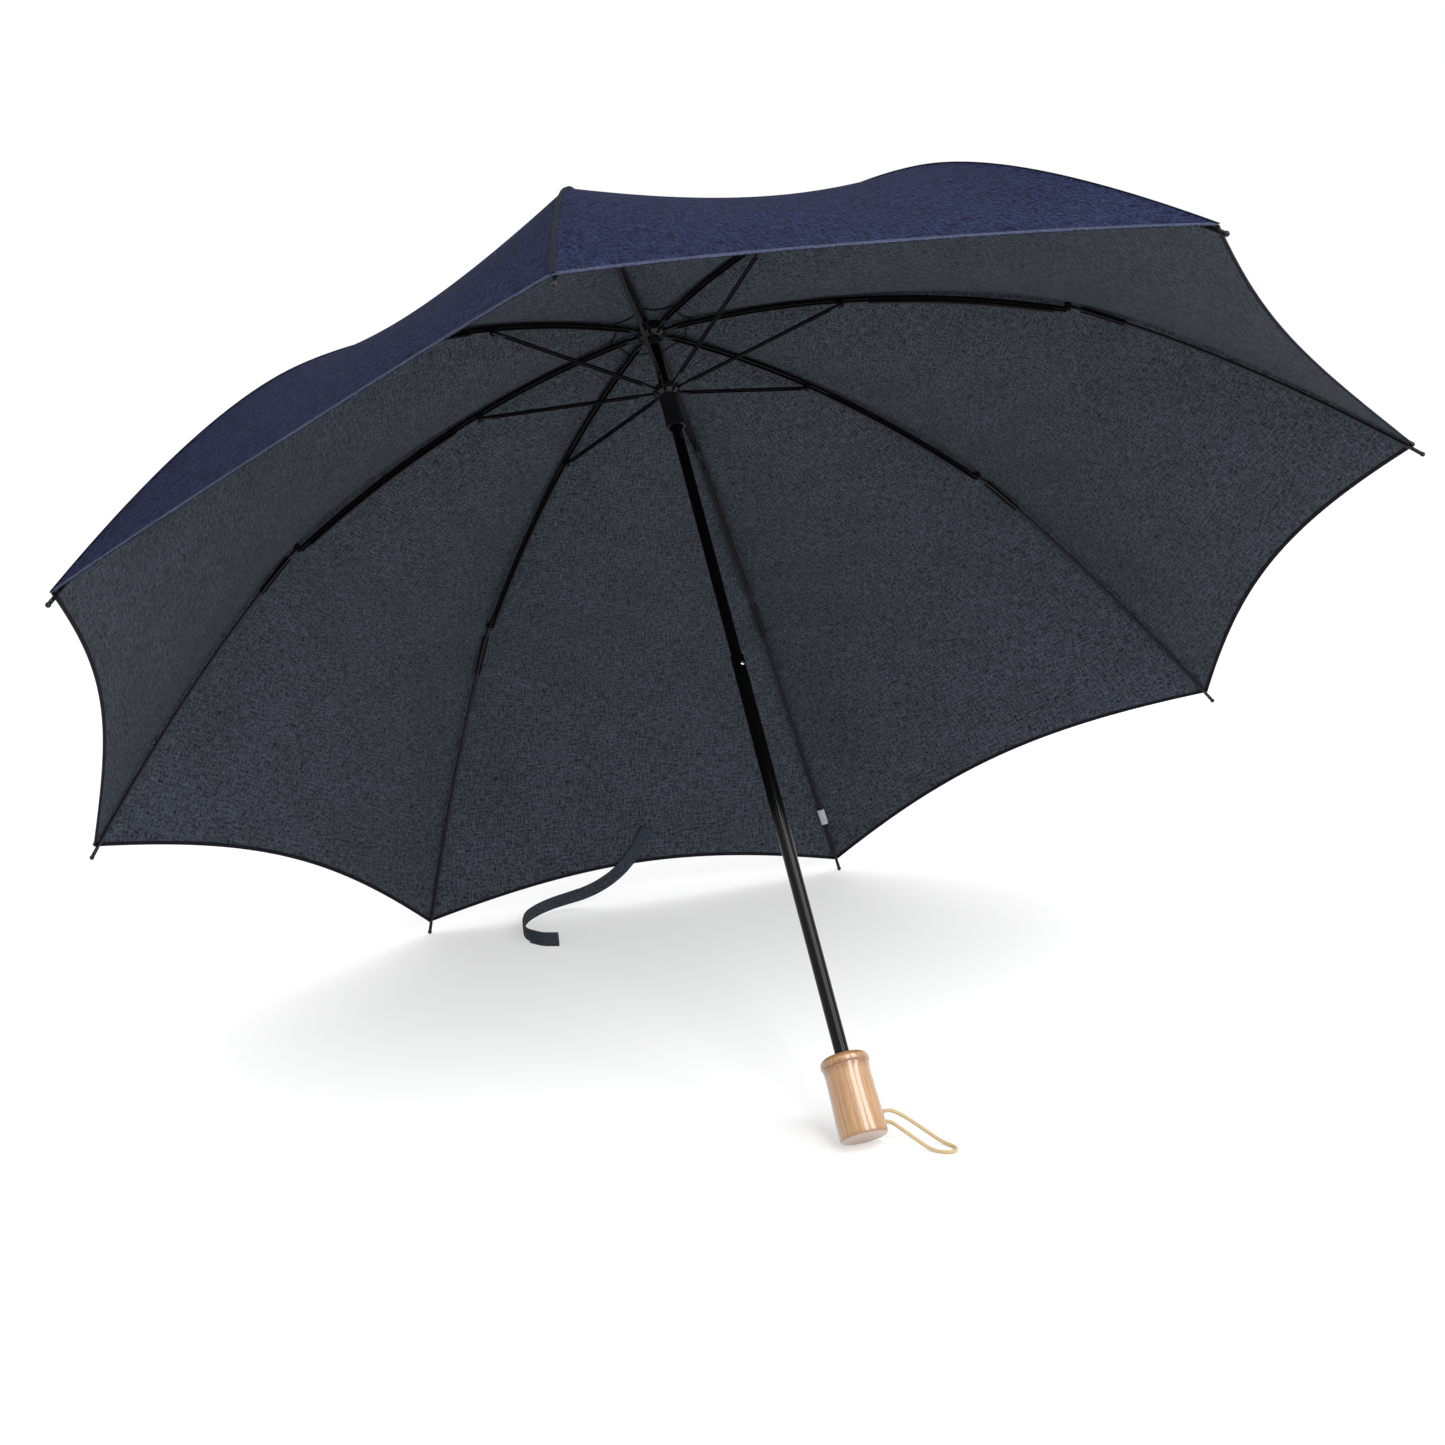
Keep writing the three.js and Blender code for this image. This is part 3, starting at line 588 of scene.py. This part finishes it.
INNER_BEND, OUTER_BEND = 13.25, 7.0  # how much a rib's slope differs from its chord at each end
CROWN_SLOPE = chord_slope(ROOT, KNEE) - INNER_BEND
KNEE_SLOPE = chord_slope(ROOT, KNEE) + INNER_BEND
OUTER_SLOPE = chord_slope(KNEE, CORNER) - OUTER_BEND
CORNER_SLOPE = chord_slope(KNEE, CORNER) + OUTER_BEND
FABRIC_KNEE_SLOPE = 32.0
inner_line = bow(ROOT, CROWN_SLOPE, KNEE - 3.2 * over(KNEE_SLOPE), KNEE_SLOPE)
rod_end = CORNER + TIP_REACH * along(CORNER_SLOPE) - ROD_UNDER * over(CORNER_SLOPE)
outer_line = bow(KNEE, OUTER_SLOPE, rod_end, CORNER_SLOPE)
fabric_knee = KNEE + 2.9 * over(KNEE_SLOPE)
fabric_inner = bow((CROWN_HOLE, CROWN_LIFT), 7.0, fabric_knee, FABRIC_KNEE_SLOPE)
fabric_outer = bow(fabric_knee, FABRIC_KNEE_SLOPE, CORNER, CORNER_SLOPE)


def line_points(curve, t0, t1, steps, lift=0.0):
    """Points of a plane curve as 3-D ones, lifted off it to its upper side."""
    t = np.linspace(t0, t1, steps + 1)
    p = curve(t)
    d = np.gradient(p, axis=0)
    d /= np.linalg.norm(d, axis=1)[:, None]
    p = p + lift * np.stack([-d[:, 1], d[:, 0]], axis=1)
    return np.stack([p[:, 0], np.zeros(len(p)), p[:, 1]], axis=1)


# ---- Canopy --------------------------------------------------------------------------------------
SAG, RIM_SAG = 12.0, 3.0  # how far the cloth draws in between two ribs, at its most and at the rim


def cloth_point(curve, t, v):
    """A point of the cloth's underside in a rib's frame: t along the curve, v from -1 to 1 across."""
    p = curve(t)
    d = curve(min(t + 1e-3, 1.0)) - curve(max(t - 1e-3, 0.0))
    d /= np.linalg.norm(d)
    share = abs(v)
    a = share * HALF
    r = p[0] * math.cos(HALF) / math.cos(HALF - a)
    whole = (p[0] - CROWN_HOLE) / (CORNER[0] - CROWN_HOLE)
    whole = min(1.0, max(0.0, whole))
    deep = SAG * math.sin(math.pi * whole) ** 1.1 + RIM_SAG * whole
    sag = deep * (2 * share - share * share)
    side = 1 if v >= 0 else -1
    inward = sag * d[1], -sag * d[0]
    r += inward[0] * math.cos(HALF - a)
    return np.array([r * math.cos(a), side * r * math.sin(a), p[1] + inward[1]])


def cloth_columns():
    """Shares across half a gore, closer together by the seam."""
    near = [0.0, 0.008, 0.018, 0.03, 0.05]
    return near + [0.05 + 0.95 * i / 18 for i in range(1, 19)]


def gore(curve, t_end, scallop, rows, hem, patch):
    """The two faces of the cloth over one rib, its rim's hem, and the crown's patch inside."""
    length = float(np.sum(np.linalg.norm(np.diff(curve(np.linspace(0, 1, 200)), axis=0), axis=1)))
    shares = cloth_columns()
    across = [-s for s in reversed(shares[1:])] + shares
    n = len(across)
    under, over_, uv = [], [], []
    for i in range(rows + 1):
        for v in across:
            s = abs(v)
            end = t_end - (scallop / length) * (1 - (1 - s) ** 2)
            t = end * i / rows
            p = cloth_point(curve, t, v)
            e = 1e-3
            dt = cloth_point(curve, min(t + e, 1), v) - cloth_point(curve, max(t - e, 0), v)
            edge = min(max(s, 0.02), 0.98) * (1 if v >= 0 else -1)
            dv = cloth_point(curve, t, edge + 0.02) - cloth_point(curve, t, edge - 0.02)
            normal = np.cross(dt, dv)
            if s in (0.0, 1.0):
                turn = 0.0 if s == 0 else math.copysign(HALF, v)
                plane = np.array([-math.sin(turn), math.cos(turn), 0.0])
                normal -= plane * (normal @ plane)
            normal /= np.linalg.norm(normal)
            half_width = p[0] * math.tan(HALF)
            from_rib = s * half_width
            seam = 0.55 * math.exp(-((from_rib / 2.6) ** 4))
            under.append(p)
            over_.append(p + normal * (FABRIC + seam))
            uv.append((half_width - from_rib, t * length))
    shape = Shape()
    count = len(under)

    def faces(flip, base_v):
        made = []
        for i in range(rows):
            for j in range(n - 1):
                if (across[j] < 0) != base_v:
                    continue
                q = (i * n + j, i * n + j + 1, (i + 1) * n + j + 1, (i + 1) * n + j)
                made.append(q if flip else tuple(reversed(q)))
        return made

    points = over_ + under
    left = [(u, w) for u, w in uv]
    right = [(-u, w) for u, w in uv]
    base = len(shape.points)
    shape.points += [tuple(p) for p in points]

    def put(made, slot, uvs, offset=0):
        for f in made:
            shape.faces.append([base + offset + i for i in f])
            shape.slots.append(slot)
            shape.uvs.append([uvs[i] for i in f])

    for negative, uvs in ((True, left), (False, right)):
        put(faces(False, negative), 0, uvs)
        put(faces(True, negative), 1, uvs, count)
    wall = []
    for j in range(n - 1):
        wall.append((j, j + 1, count + j + 1, count + j))
        last = rows * n + j
        wall.append((last + 1, last, count + last, count + last + 1))
    for i in range(rows):
        a, b = i * n, (i + 1) * n
        wall.append((b, a, count + a, count + b))
        wall.append((a + n - 1, b + n - 1, count + b + n - 1, count + a + n - 1))
    put(wall, 1, uv + uv)
    if hem:
        rim = [under[rows * n + j] for j in range(n)]
        before_rim = [under[(rows - 1) * n + j] for j in range(n)]
        add_hem(shape, rim, before_rim)
    if patch:
        add_patch(shape, curve, across)
    add_seam(shape, curve, t_end)
    return shape


def add_hem(shape, rim, inside):
    """A rolled hem: a flattened roll that holds the cloth's rim, dark with painted shade."""
    rim, inside = np.array(rim), np.array(inside)
    towards = inside - rim
    towards /= np.linalg.norm(towards, axis=1)[:, None]
    tangent = np.gradient(rim, axis=0)
    tangent /= np.linalg.norm(tangent, axis=1)[:, None]
    normal = np.cross(tangent, towards)
    normal /= np.linalg.norm(normal, axis=1)[:, None]
    normal *= np.sign(normal[:, 2:3])
    section = [(-0.7, 0.2), (-0.45, 0.8), (0.6, 1.0), (2.4, 0.95)]
    section += [(2.8, 0.4), (2.2, -0.3), (0.8, -0.45), (-0.4, -0.3)]
    points, uvs = [], []
    long = np.concatenate([[0], np.cumsum(np.linalg.norm(np.diff(rim, axis=0), axis=1))])
    for p, t, m, at in zip(rim, towards, normal, long):
        for u, v in section:
            points.append(p + t * u + m * v)
            uvs.append((at, u * 2 + v))
    n = len(section)
    faces = []
    for i in range(len(rim) - 1):
        for j in range(n):
            k = (j + 1) % n
            faces.append((i * n + k, i * n + j, (i + 1) * n + j, (i + 1) * n + k))
    faces.append(tuple(range(n)))
    faces.append(tuple(reversed(range((len(rim) - 1) * n, len(rim) * n))))
    first = len(shape.slots)
    shape.add(points, faces, 2, uvs)
    for f in range((len(rim) - 1) * n):
        if f % n < 3:
            shape.slots[first + f] = 3  # the fold's upper faces, on the outside: a painted highlight


def add_seam(shape, curve, t1):
    """The felled seam along a rib, outside: a narrow raised band, dark with painted shade."""
    half_width, steps = 1.3, 60
    line = [cloth_point(curve, t1 * i / steps, 0.0) for i in range(steps + 1)]
    line = np.array(line)
    tangent = np.gradient(line, axis=0)
    tangent /= np.linalg.norm(tangent, axis=1)[:, None]
    outward = np.stack([-tangent[:, 2], 0 * tangent[:, 0], tangent[:, 0]], axis=1)
    w, base, top = half_width, FABRIC + 0.35, FABRIC + 0.95
    section = [(-w, base), (w, base), (w, top - 0.15), (w - 0.3, top), (0.25, top), (0, top - 0.25)]
    section += [(-0.25, top), (0.3 - w, top), (-w, top - 0.15)]
    points, uvs = [], []
    for i, (p, m) in enumerate(zip(line, outward)):
        for u, v in section:
            points.append(p + np.array([0, u, 0]) + m * v)
            uvs.append((u * 2, i * 4.0))
    n = len(section)
    faces = []
    for i in range(steps):
        for j in range(n):
            k = (j + 1) % n
            faces.append((i * n + k, i * n + j, (i + 1) * n + j, (i + 1) * n + k))
    faces.append(tuple(range(n)))
    faces.append(tuple(reversed(range(steps * n, (steps + 1) * n))))
    shape.add(points, faces, 2, uvs)


def add_patch(shape, curve, across):
    """A sector of the round patch that lines the crown."""
    outer, inner = 31.0, 11.0
    few = across[::2] if (len(across) // 2) % 2 == 0 else across
    rows = 6
    lower, upper = [], []
    for i in range(rows + 1):
        r = inner + (outer - inner) * i / rows
        for v in few:
            wave = 0.9 * math.cos(math.pi * v) * i / rows
            p = cloth_point(curve, reach(curve, r + wave), v)
            upper.append(p - np.array([0, 0, 0.25]))
            lower.append(p - np.array([0, 0, 0.95]))
    n = len(few)
    count = len(lower)
    faces = []
    for i in range(rows):
        for j in range(n - 1):
            q = (i * n + j, i * n + j + 1, (i + 1) * n + j + 1, (i + 1) * n + j)
            faces.append(q)
            faces.append(tuple(count + x for x in reversed(q)))
    for j in range(n - 1):
        last = rows * n + j
        faces.append((j + 1, j, count + j, count + j + 1))
        faces.append((last, last + 1, count + last + 1, count + last))
    for i in range(rows):
        a, b = i * n, (i + 1) * n
        faces.append((a, b, count + b, count + a))
        faces.append((b + n - 1, a + n - 1, count + a + n - 1, count + b + n - 1))
    uvs = [(p[1], p[0]) for p in lower + upper]
    shape.add(lower + upper, faces, 1, uvs)
    for ring in (lower[-n:], lower[:n]):
        bind(shape, ring)


def bind(shape, ring):
    """A binding along an edge of the patch, dark with painted shade."""
    radius, sides = 0.75, 8
    points, faces = [], []
    for p in ring:
        out = np.array([p[0], p[1], 0.0])
        out /= np.linalg.norm(out)
        for i in range(sides):
            a = 2 * math.pi * i / sides
            points.append(p + radius * (out * math.cos(a) + np.array([0, 0, 0.7]) * math.sin(a)))
    for i in range(len(ring) - 1):
        for j in range(sides):
            k = (j + 1) % sides
            faces.append((i * sides + j, i * sides + k, (i + 1) * sides + k, (i + 1) * sides + j))
    faces.append(tuple(reversed(range(sides))))
    faces.append(tuple(range((len(ring) - 1) * sides, len(ring) * sides)))
    shape.add(points, faces, 2)


def make_canopy():
    inner = gore(fabric_inner, 1.0, 0.0, 30, False, True)
    outer = gore(fabric_outer, 1.0, SCALLOP, 30, True, False)
    for k in range(RIBS):
        for name, shape, body, hinge, keep, (low, high) in (
            ("inner_gore", inner, f"inner_rib_{k}", "notch_hinge", 0.08, (CROWN_HOLE, KNEE[0])),
            ("outer_gore", outer, f"outer_rib_{k}", "knee_hinge", 0.06, (KNEE[0], CORNER[0])),
        ):
            piece = shape.object(
                f"{name}_cloth_{k}", rib_frame(k), [OUTSIDE, INSIDE, PAINTED_SHADE, PAINTED_HIGHLIGHT], 50,
                body, "denim_outside", [f"{name}_{k}"],
            )
            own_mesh(piece)


# ---- Ribs ----------------------------------------------------------------------------------------
def channel(width, height, wall):
    """A channel's section, open below, with its two bends rounded: (across, over)."""
    w, h, r = width / 2, height / 2, 0.45
    turns = (0, math.pi / 4, math.pi / 2)
    bend = [(w - r + r * math.cos(a), h - r + r * math.sin(a)) for a in turns]
    outer = [(w, -h), *bend, *[(-x, z) for x, z in reversed(bend)], (-w, -h)]
    return outer + [(-w + wall, -h), (-w + wall, h - wall), (w - wall, h - wall), (w - wall, -h)]


def eye(shape, p, q, radius, hole, thickness, height):
    """A flat eye round p, with its hole, on a bar of the given height that runs to q."""
    sides = 20
    turn = math.atan2(*(q - p)[::-1])
    rings = []
    for y in (-thickness / 2, thickness / 2):
        for r in (hole, radius):
            for i in range(sides):
                a = turn + 2 * math.pi * i / sides
                rings.append((p[0] + r * math.cos(a), y, p[1] + r * math.sin(a)))
    inner_a, outer_a, inner_b, outer_b = (range(i * sides, (i + 1) * sides) for i in range(4))
    faces = []
    for i in range(sides):
        j = (i + 1) % sides
        faces.append((inner_a[i], outer_a[i], outer_a[j], inner_a[j]))
        faces.append((inner_b[j], outer_b[j], outer_b[i], inner_b[i]))
        faces.append((outer_a[i], outer_b[i], outer_b[j], outer_a[j]))
        faces.append((inner_a[j], inner_b[j], inner_b[i], inner_a[i]))
    shape.add(rings, faces)
    d = (q - p) / np.linalg.norm(q - p)
    side = np.array([-d[1], d[0]]) * height / 2
    start = p + d * (radius * 0.85)
    plate(shape, [start - side, q - side, q + side, start + side], thickness)


def clevis(shape, p, q, width, radius=2.3):
    for y in (width / 2 - 0.25, 0.25 - width / 2):
        plate(shape, tab(p, q, radius), 0.5, y)
    rivet(shape, p, width + 0.3)


def inner_rib():
    shape = Shape()
    t0 = reach(inner_line, pivot_radius + 8)
    swept(shape, channel(RIB_WIDTH, RIB_HEIGHT, 0.5), line_points(inner_line, t0, 1, 48))
    eye(shape, ROOT, inner_line(reach(inner_line, pivot_radius + 11)), 1.7, 0.95, 1.5, 2.4)
    clevis(shape, ELBOW, inner_line(reach(inner_line, ELBOW[0] - 0.9)), RIB_WIDTH)
    clevis(shape, KNEE, inner_line(1.0), RIB_WIDTH)
    return shape


def stretcher():
    shape = Shape()
    end = np.array([pivot_radius, 2 * ELBOW[1]])
    d = (end - ELBOW) / np.linalg.norm(end - ELBOW)
    a, b = ELBOW + d * 6, end - d * 9
    line = [(p[0], 0, p[1]) for p in (a + (b - a) * i / 8 for i in range(9))]
    swept(shape, channel(2.6, 2.2, 0.45), line[::-1])
    eye(shape, ELBOW, a + d * 3, 1.7, 0.95, 1.5, 2.0)
    eye(shape, end, b - d * 3, 1.7, 0.95, 1.5, 2.0)
    return shape


def link_rod():
    shape = Shape()
    t0, t1 = reach(inner_line, ELBOW[0] + 21), reach(inner_line, KNEE[0] - 9)
    swept(shape, disc(0.9, 12), line_points(inner_line, t0, t1, 24, -3.6))
    return shape


def outer_rib():
    """The outer rib: a wire with a knee bracket folded round its start; tip() adds its end's bead."""
    shape = Shape()
    t0 = reach(outer_line, KNEE[0] + 6)
    swept(shape, disc(1.2, 16), line_points(outer_line, t0, 1, 48))
    t1, t2 = reach(outer_line, KNEE[0] + 8), reach(outer_line, KNEE[0] + 34)
    swept(shape, channel(RIB_WIDTH, 3.1, 0.5), line_points(outer_line, t1, t2, 10))
    for t in (t1 + 0.03, (t1 + t2) / 2, t2 - 0.03):
        rivet(shape, outer_line(t), RIB_WIDTH - 0.2, 0.6)
    eye(shape, KNEE, outer_line(t1 + 0.02), 1.7, 0.95, 1.5, 2.0)
    return shape


def tip():
    """A cap crimped on the wire's end, with its bead."""
    part = Shape()
    bead, r = 1.75, 1.35
    angles = [math.pi * i / 14 for i in range(11)]
    outline = [(bead * math.sin(a), -bead * math.cos(a)) for a in angles]
    outline += [(r, 2.2), (r, 3.0), (1.5, 3.4), (r, 3.8), (r, 8.5), (1.2, 9), (0, 9)]
    turned(part, outline, 24)
    d = along(CORNER_SLOPE)
    shape = Shape()
    points = [
        (rod_end[0] - d[0] * h + x * d[1], y, rod_end[1] - d[1] * h - x * d[0])
        for x, y, h in part.points
    ]
    return shape.add(points, part.faces)


def make_ribs():
    shapes = {
        "inner_rib": inner_rib(),
        "stretcher": stretcher(),
        "link_rod": link_rod(),
        "outer_rib": outer_rib(),
    }
    end = tip()
    for k in range(RIBS):
        for name, shape in shapes.items():
            body = f"{name}_{k}"
            shape.object(f"{name}_steel_{k}", rib_frame(k), [RIB], 40, body, "rib_steel", [body])
        end.object(f"rib_tip_{k}", rib_frame(k), [RIB], 40, f"outer_rib_{k}", "rib_steel")


# ---- Shaft, runner and handle ---------------------------------------------------------------------
def tube(name, radius, low, high, body, replaces, lip):
    bore = radius - WALL
    corners = [(bore, low), (radius, low), (radius, high - lip), (radius, high), (bore, high)]
    outline = rounded(corners, 0.25)
    shape = turned(Shape(), [*outline, outline[0]], 64)
    return shape.object(name, SHAFT, [TUBE], 40, body, "black_steel", [replaces])


def make_shaft():
    tube("upper_tube_steel", UPPER_R, UPPER_END, crown + 4, "shaft", "upper_tube", 0.5)
    tube("lower_tube_steel", LOWER_R, HANDLE_L - SOCKET + 1, LOWER_TOP, "grip", "lower_tube", 0.5)
    for node, material, slot in (
        ("top_notch", PLASTIC, "black_plastic"),
        ("runner", PLASTIC, "black_plastic"),
        ("crown_cap", PLASTIC, "black_plastic"),
        ("catch_spring", RIB, "black_steel"),
    ):
        soften(node, material, 0.18)


def soften(node, material, edge):
    """A copy of a cut CAD piece with its edges eased, in place of it."""
    source = frame["nodes"][node]
    body = source["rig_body"]
    mesh = source.data.copy()
    piece = bpy.data.objects.new(node + "_finished", mesh)
    bpy.context.scene.collection.objects.link(piece)
    mesh.materials.clear()
    mesh.materials.append(material)
    weld = piece.modifiers.new("weld", "WELD")
    weld.merge_threshold = 1e-5
    bevel = piece.modifiers.new("bevel", "BEVEL")
    bevel.width = edge * MM
    bevel.segments = 2
    bevel.limit_method = "ANGLE"
    bevel.angle_limit = math.radians(35)
    bake(piece)
    piece.data.polygons.foreach_set("use_smooth", [True] * len(piece.data.polygons))
    piece.data.set_sharp_from_angle(angle=math.radians(35))
    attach(piece, body)
    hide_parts(node)
    return piece


def bake(piece):
    """Replaces a piece's mesh with the result of its modifiers."""
    graph = bpy.context.evaluated_depsgraph_get()
    graph.update()
    done = bpy.data.meshes.new_from_object(piece.evaluated_get(graph))
    piece.modifiers.clear()
    piece.data = done


def make_handle():
    r, top = HANDLE_R, HANDLE_L
    outline = [(0, 0.35), (r - 3.4, 0.0), (r, 0.0), (r, 11), (r - 0.5, 24), (r - 0.9, top - 14)]
    outline += [(r - 0.75, top - 9.5), (r - 0.35, top - 7.4), (r - 0.75, top - 6.9)]
    outline += [(r + 0.3, top - 6.2), (r + 0.35, top - 2.4), (r - 2.4, top)]
    outline += [(LOWER_R + 1.0, top - 0.1), (LOWER_R + 0.25, top - 0.6), (LOWER_R + 0.2, top - 5)]
    shape = turned(Shape(), rounded(outline, 2.2, 6), 128)
    shape.object("handle_wood", SHAFT, [WOOD], 50, "grip", "handle", ["handle"])


def make_button():
    foot, r = 4.1, 1.5
    outline = [(0, foot), (r, foot), (r, LOWER_R - 0.1)]
    outline += [(r * 0.85, 5.25), (r * 0.4, 5.38), (0, 5.4)]
    part = turned(Shape(), rounded(outline, 0.3), 24)
    c, s = math.cos(SPRING_SIDE), math.sin(SPRING_SIDE)
    points = [(z * c - y * s, z * s + y * c, LOCK_AT - x) for x, y, z in part.points]
    shape = Shape().add(points, part.faces)
    piece = shape.object(
        "lock_button_steel", SHAFT, [BRIGHT], 40, "lock_button", "bright_steel", ["lock_button"]
    )
    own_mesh(piece)


# ---- Soft pieces on the floor, in mm from the handle's end ----------------------------------------
LOOP_ROUTE = [
    (12.2, 4.94, 15.34), (17, 4.94, 15.34), (20.5, 3.2, 14.3), (23.5, -0.5, 12.3), (27, -5.5, 9.6),
    (31, -10.5, 6.6), (35, -15.5, 3.6), (39, -20.5, 1.7), (43.5, -25, 1.45), (48, -27.5, 1.45),
    (52, -26, 1.45), (53, -21.5, 1.45), (50.5, -16, 1.7), (47, -11, 3.2), (43, -6, 6),
    (38.5, -1, 9.4), (33.5, 4, 13.2), (28, 7.5, 17), (22.5, 9.2, 20), (17, 9.26, 20.85),
    (12.2, 9.26, 20.85),
]
CORD_R = 1.25
STRAP_ROUTE = [
    (10.5, -6.2, 1), (6, -7.2, 0.87), (1.5, -7.2, 0.74), (-5.5, -7.2, 0.6), (-13.5, -7.2, 0.47),
    (-20, -6.2, 0.38), (-26.5, -4.7, 0.3), (-36, -1.2, 0.2), (-48, 3.8, 0.105), (-62, 7.8, 0.04),
    (-78, 4.8, 0.01), (-93, -5.2, 0), (-105, -20.2, 0), (-112, -39.2, 0), (-114.5, -57.2, 0),
    (-112, -72.2, 0),
]  # x and y from where it is sewn on, and its share of that place's height
TAB_ROUTE = [(-112.3, -71.5, 0), (-111.85, -72.6, 0), (-104, -83.9, 0), (-92.5, -90.4, 0)]
STRAP_WIDTH, STRAP_INSET, LYING = 11.0, 24.0, 6.5


def spline(route, steps):
    """A smooth line through a route's points."""
    p = np.array(route, float)
    p = np.vstack([2 * p[0] - p[1], p, 2 * p[-1] - p[-2]])
    line = []
    for i in range(1, len(p) - 2):
        a, b, c, d = p[i - 1], p[i], p[i + 1], p[i + 2]
        for j in range(steps):
            t = j / steps
            square, cube = 2 * a - 5 * b + 4 * c - d, 3 * b - a - 3 * c + d
            line.append(0.5 * (2 * b + (c - a) * t + square * t**2 + cube * t**3))
    return np.array([*line, p[-2]])


def make_loop():
    line = spline(LOOP_ROUTE, 6)
    t = np.gradient(line, axis=0)
    t /= np.linalg.norm(t, axis=1)[:, None]
    shape = Shape()
    around = 16
    normal = np.array([0.0, 0.0, 1.0])
    long = np.concatenate([[0], np.cumsum(np.linalg.norm(np.diff(line, axis=0), axis=1))])
    points, uvs = [], []
    for p, d, at in zip(line, t, long):
        normal = normal - d * (normal @ d)
        normal /= np.linalg.norm(normal)
        other = np.cross(d, normal)
        for i in range(around + 1):
            a = 2 * math.pi * i / around
            points.append(p + CORD_R * (math.cos(a) * normal + math.sin(a) * other))
            uvs.append((i / around, at))
    ring = around + 1
    faces = []
    for i in range(len(line) - 1):
        for j in range(around):
            k = j + 1
            a, b = i * ring, (i + 1) * ring
            faces.append((a + j, a + k, b + k, b + j))
    shape.add(points, faces, 0, uvs)
    piece = shape.object("wrist_loop_cord", FLOOR, [CORD], 60, "grip", "cord", ["wrist_loop"])
    weld(piece)


def weld(piece):
    """Joins points at one place, as along a tube's seam, and keeps the UVs."""
    modifier = piece.modifiers.new("weld", "WELD")
    modifier.merge_threshold = 1e-6
    bake(piece)


def sewn_on():
    """Where the strap is sewn on, in the floor's frame: over the rim, between ribs 2 and 3."""
    steps = fabric_outer(np.linspace(0, 1, 400))
    length = float(np.sum(np.linalg.norm(np.diff(steps, axis=0), axis=1)))
    x, y = fabric_outer(1 - (SCALLOP + STRAP_INSET) / length)
    return FLOOR.inverted() @ SHAFT @ Vector((0, x * math.cos(HALF), crown + y))


def make_strap():
    start = sewn_on()
    for name, route, width, thick, node in (
        ("strap_cloth", STRAP_ROUTE, STRAP_WIDTH, 0.9, "strap"),
        ("strap_tab_cloth", TAB_ROUTE, STRAP_WIDTH + 1, 2.0, "strap_tab"),
    ):
        lying = [(x, start.y + y, LYING + share * (start.z - LYING)) for x, y, share in route]
        line = spline(lying, 8)
        t = np.gradient(line, axis=0)
        t /= np.linalg.norm(t, axis=1)[:, None]
        w, h = width / 2, thick / 2
        section = [(-w, -h * 0.5), (-w, h * 0.5), (-w + 0.6, h)]
        section += [(0, h * 0.9), (w - 0.6, h), (w, h * 0.5)]
        section += [(w, -h * 0.5), (w - 0.6, -h), (0, -h * 0.9), (-w + 0.6, -h)]
        points, uvs = [], []
        long = np.concatenate([[0], np.cumsum(np.linalg.norm(np.diff(line, axis=0), axis=1))])
        for p, d, at in zip(line, t, long):
            upright = np.array([0, 0, 1.0]) - d * d[2]
            upright /= np.linalg.norm(upright)
            through = np.cross(d, upright)
            for u, v in section:
                points.append(p + upright * u + through * v)
                uvs.append((u, at))
        n = len(section)
        faces = []
        for i in range(len(line) - 1):
            for j in range(n):
                k = (j + 1) % n
                faces.append((i * n + k, i * n + j, (i + 1) * n + j, (i + 1) * n + k))
        faces.append(tuple(range(n)))
        faces.append(tuple(reversed(range((len(line) - 1) * n, len(line) * n))))
        shape = Shape().add(points, faces, 0, uvs)
        piece = shape.object(name, FLOOR, [RIBBON], 50, "outer_rib_3", "denim_inside", [node])
        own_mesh(piece)


def make_tag():
    t0 = reach(outer_line, CORNER[0] - TAG_FROM)
    t1 = reach(outer_line, CORNER[0] - TAG_TO)
    line = line_points(outer_line, t0, t1, 8)
    shape = Shape()
    section = [(3.3 * x, 1.9 * z) for x, z in disc(1, 24)]
    swept(shape, section, line, caps=True)
    body = f"outer_rib_{TAG_RIB}"
    shape.object(
        "rib_tag_plastic", rib_frame(TAG_RIB), [CLEAR], 40, body, "clear_plastic", ["rib_tag"]
    )


# ---- Assembly ------------------------------------------------------------------------------------
make_camera()
make_loop()
make_studio()
make_canopy()
make_ribs()
make_shaft()
make_handle()
make_button()
make_strap()
make_tag()
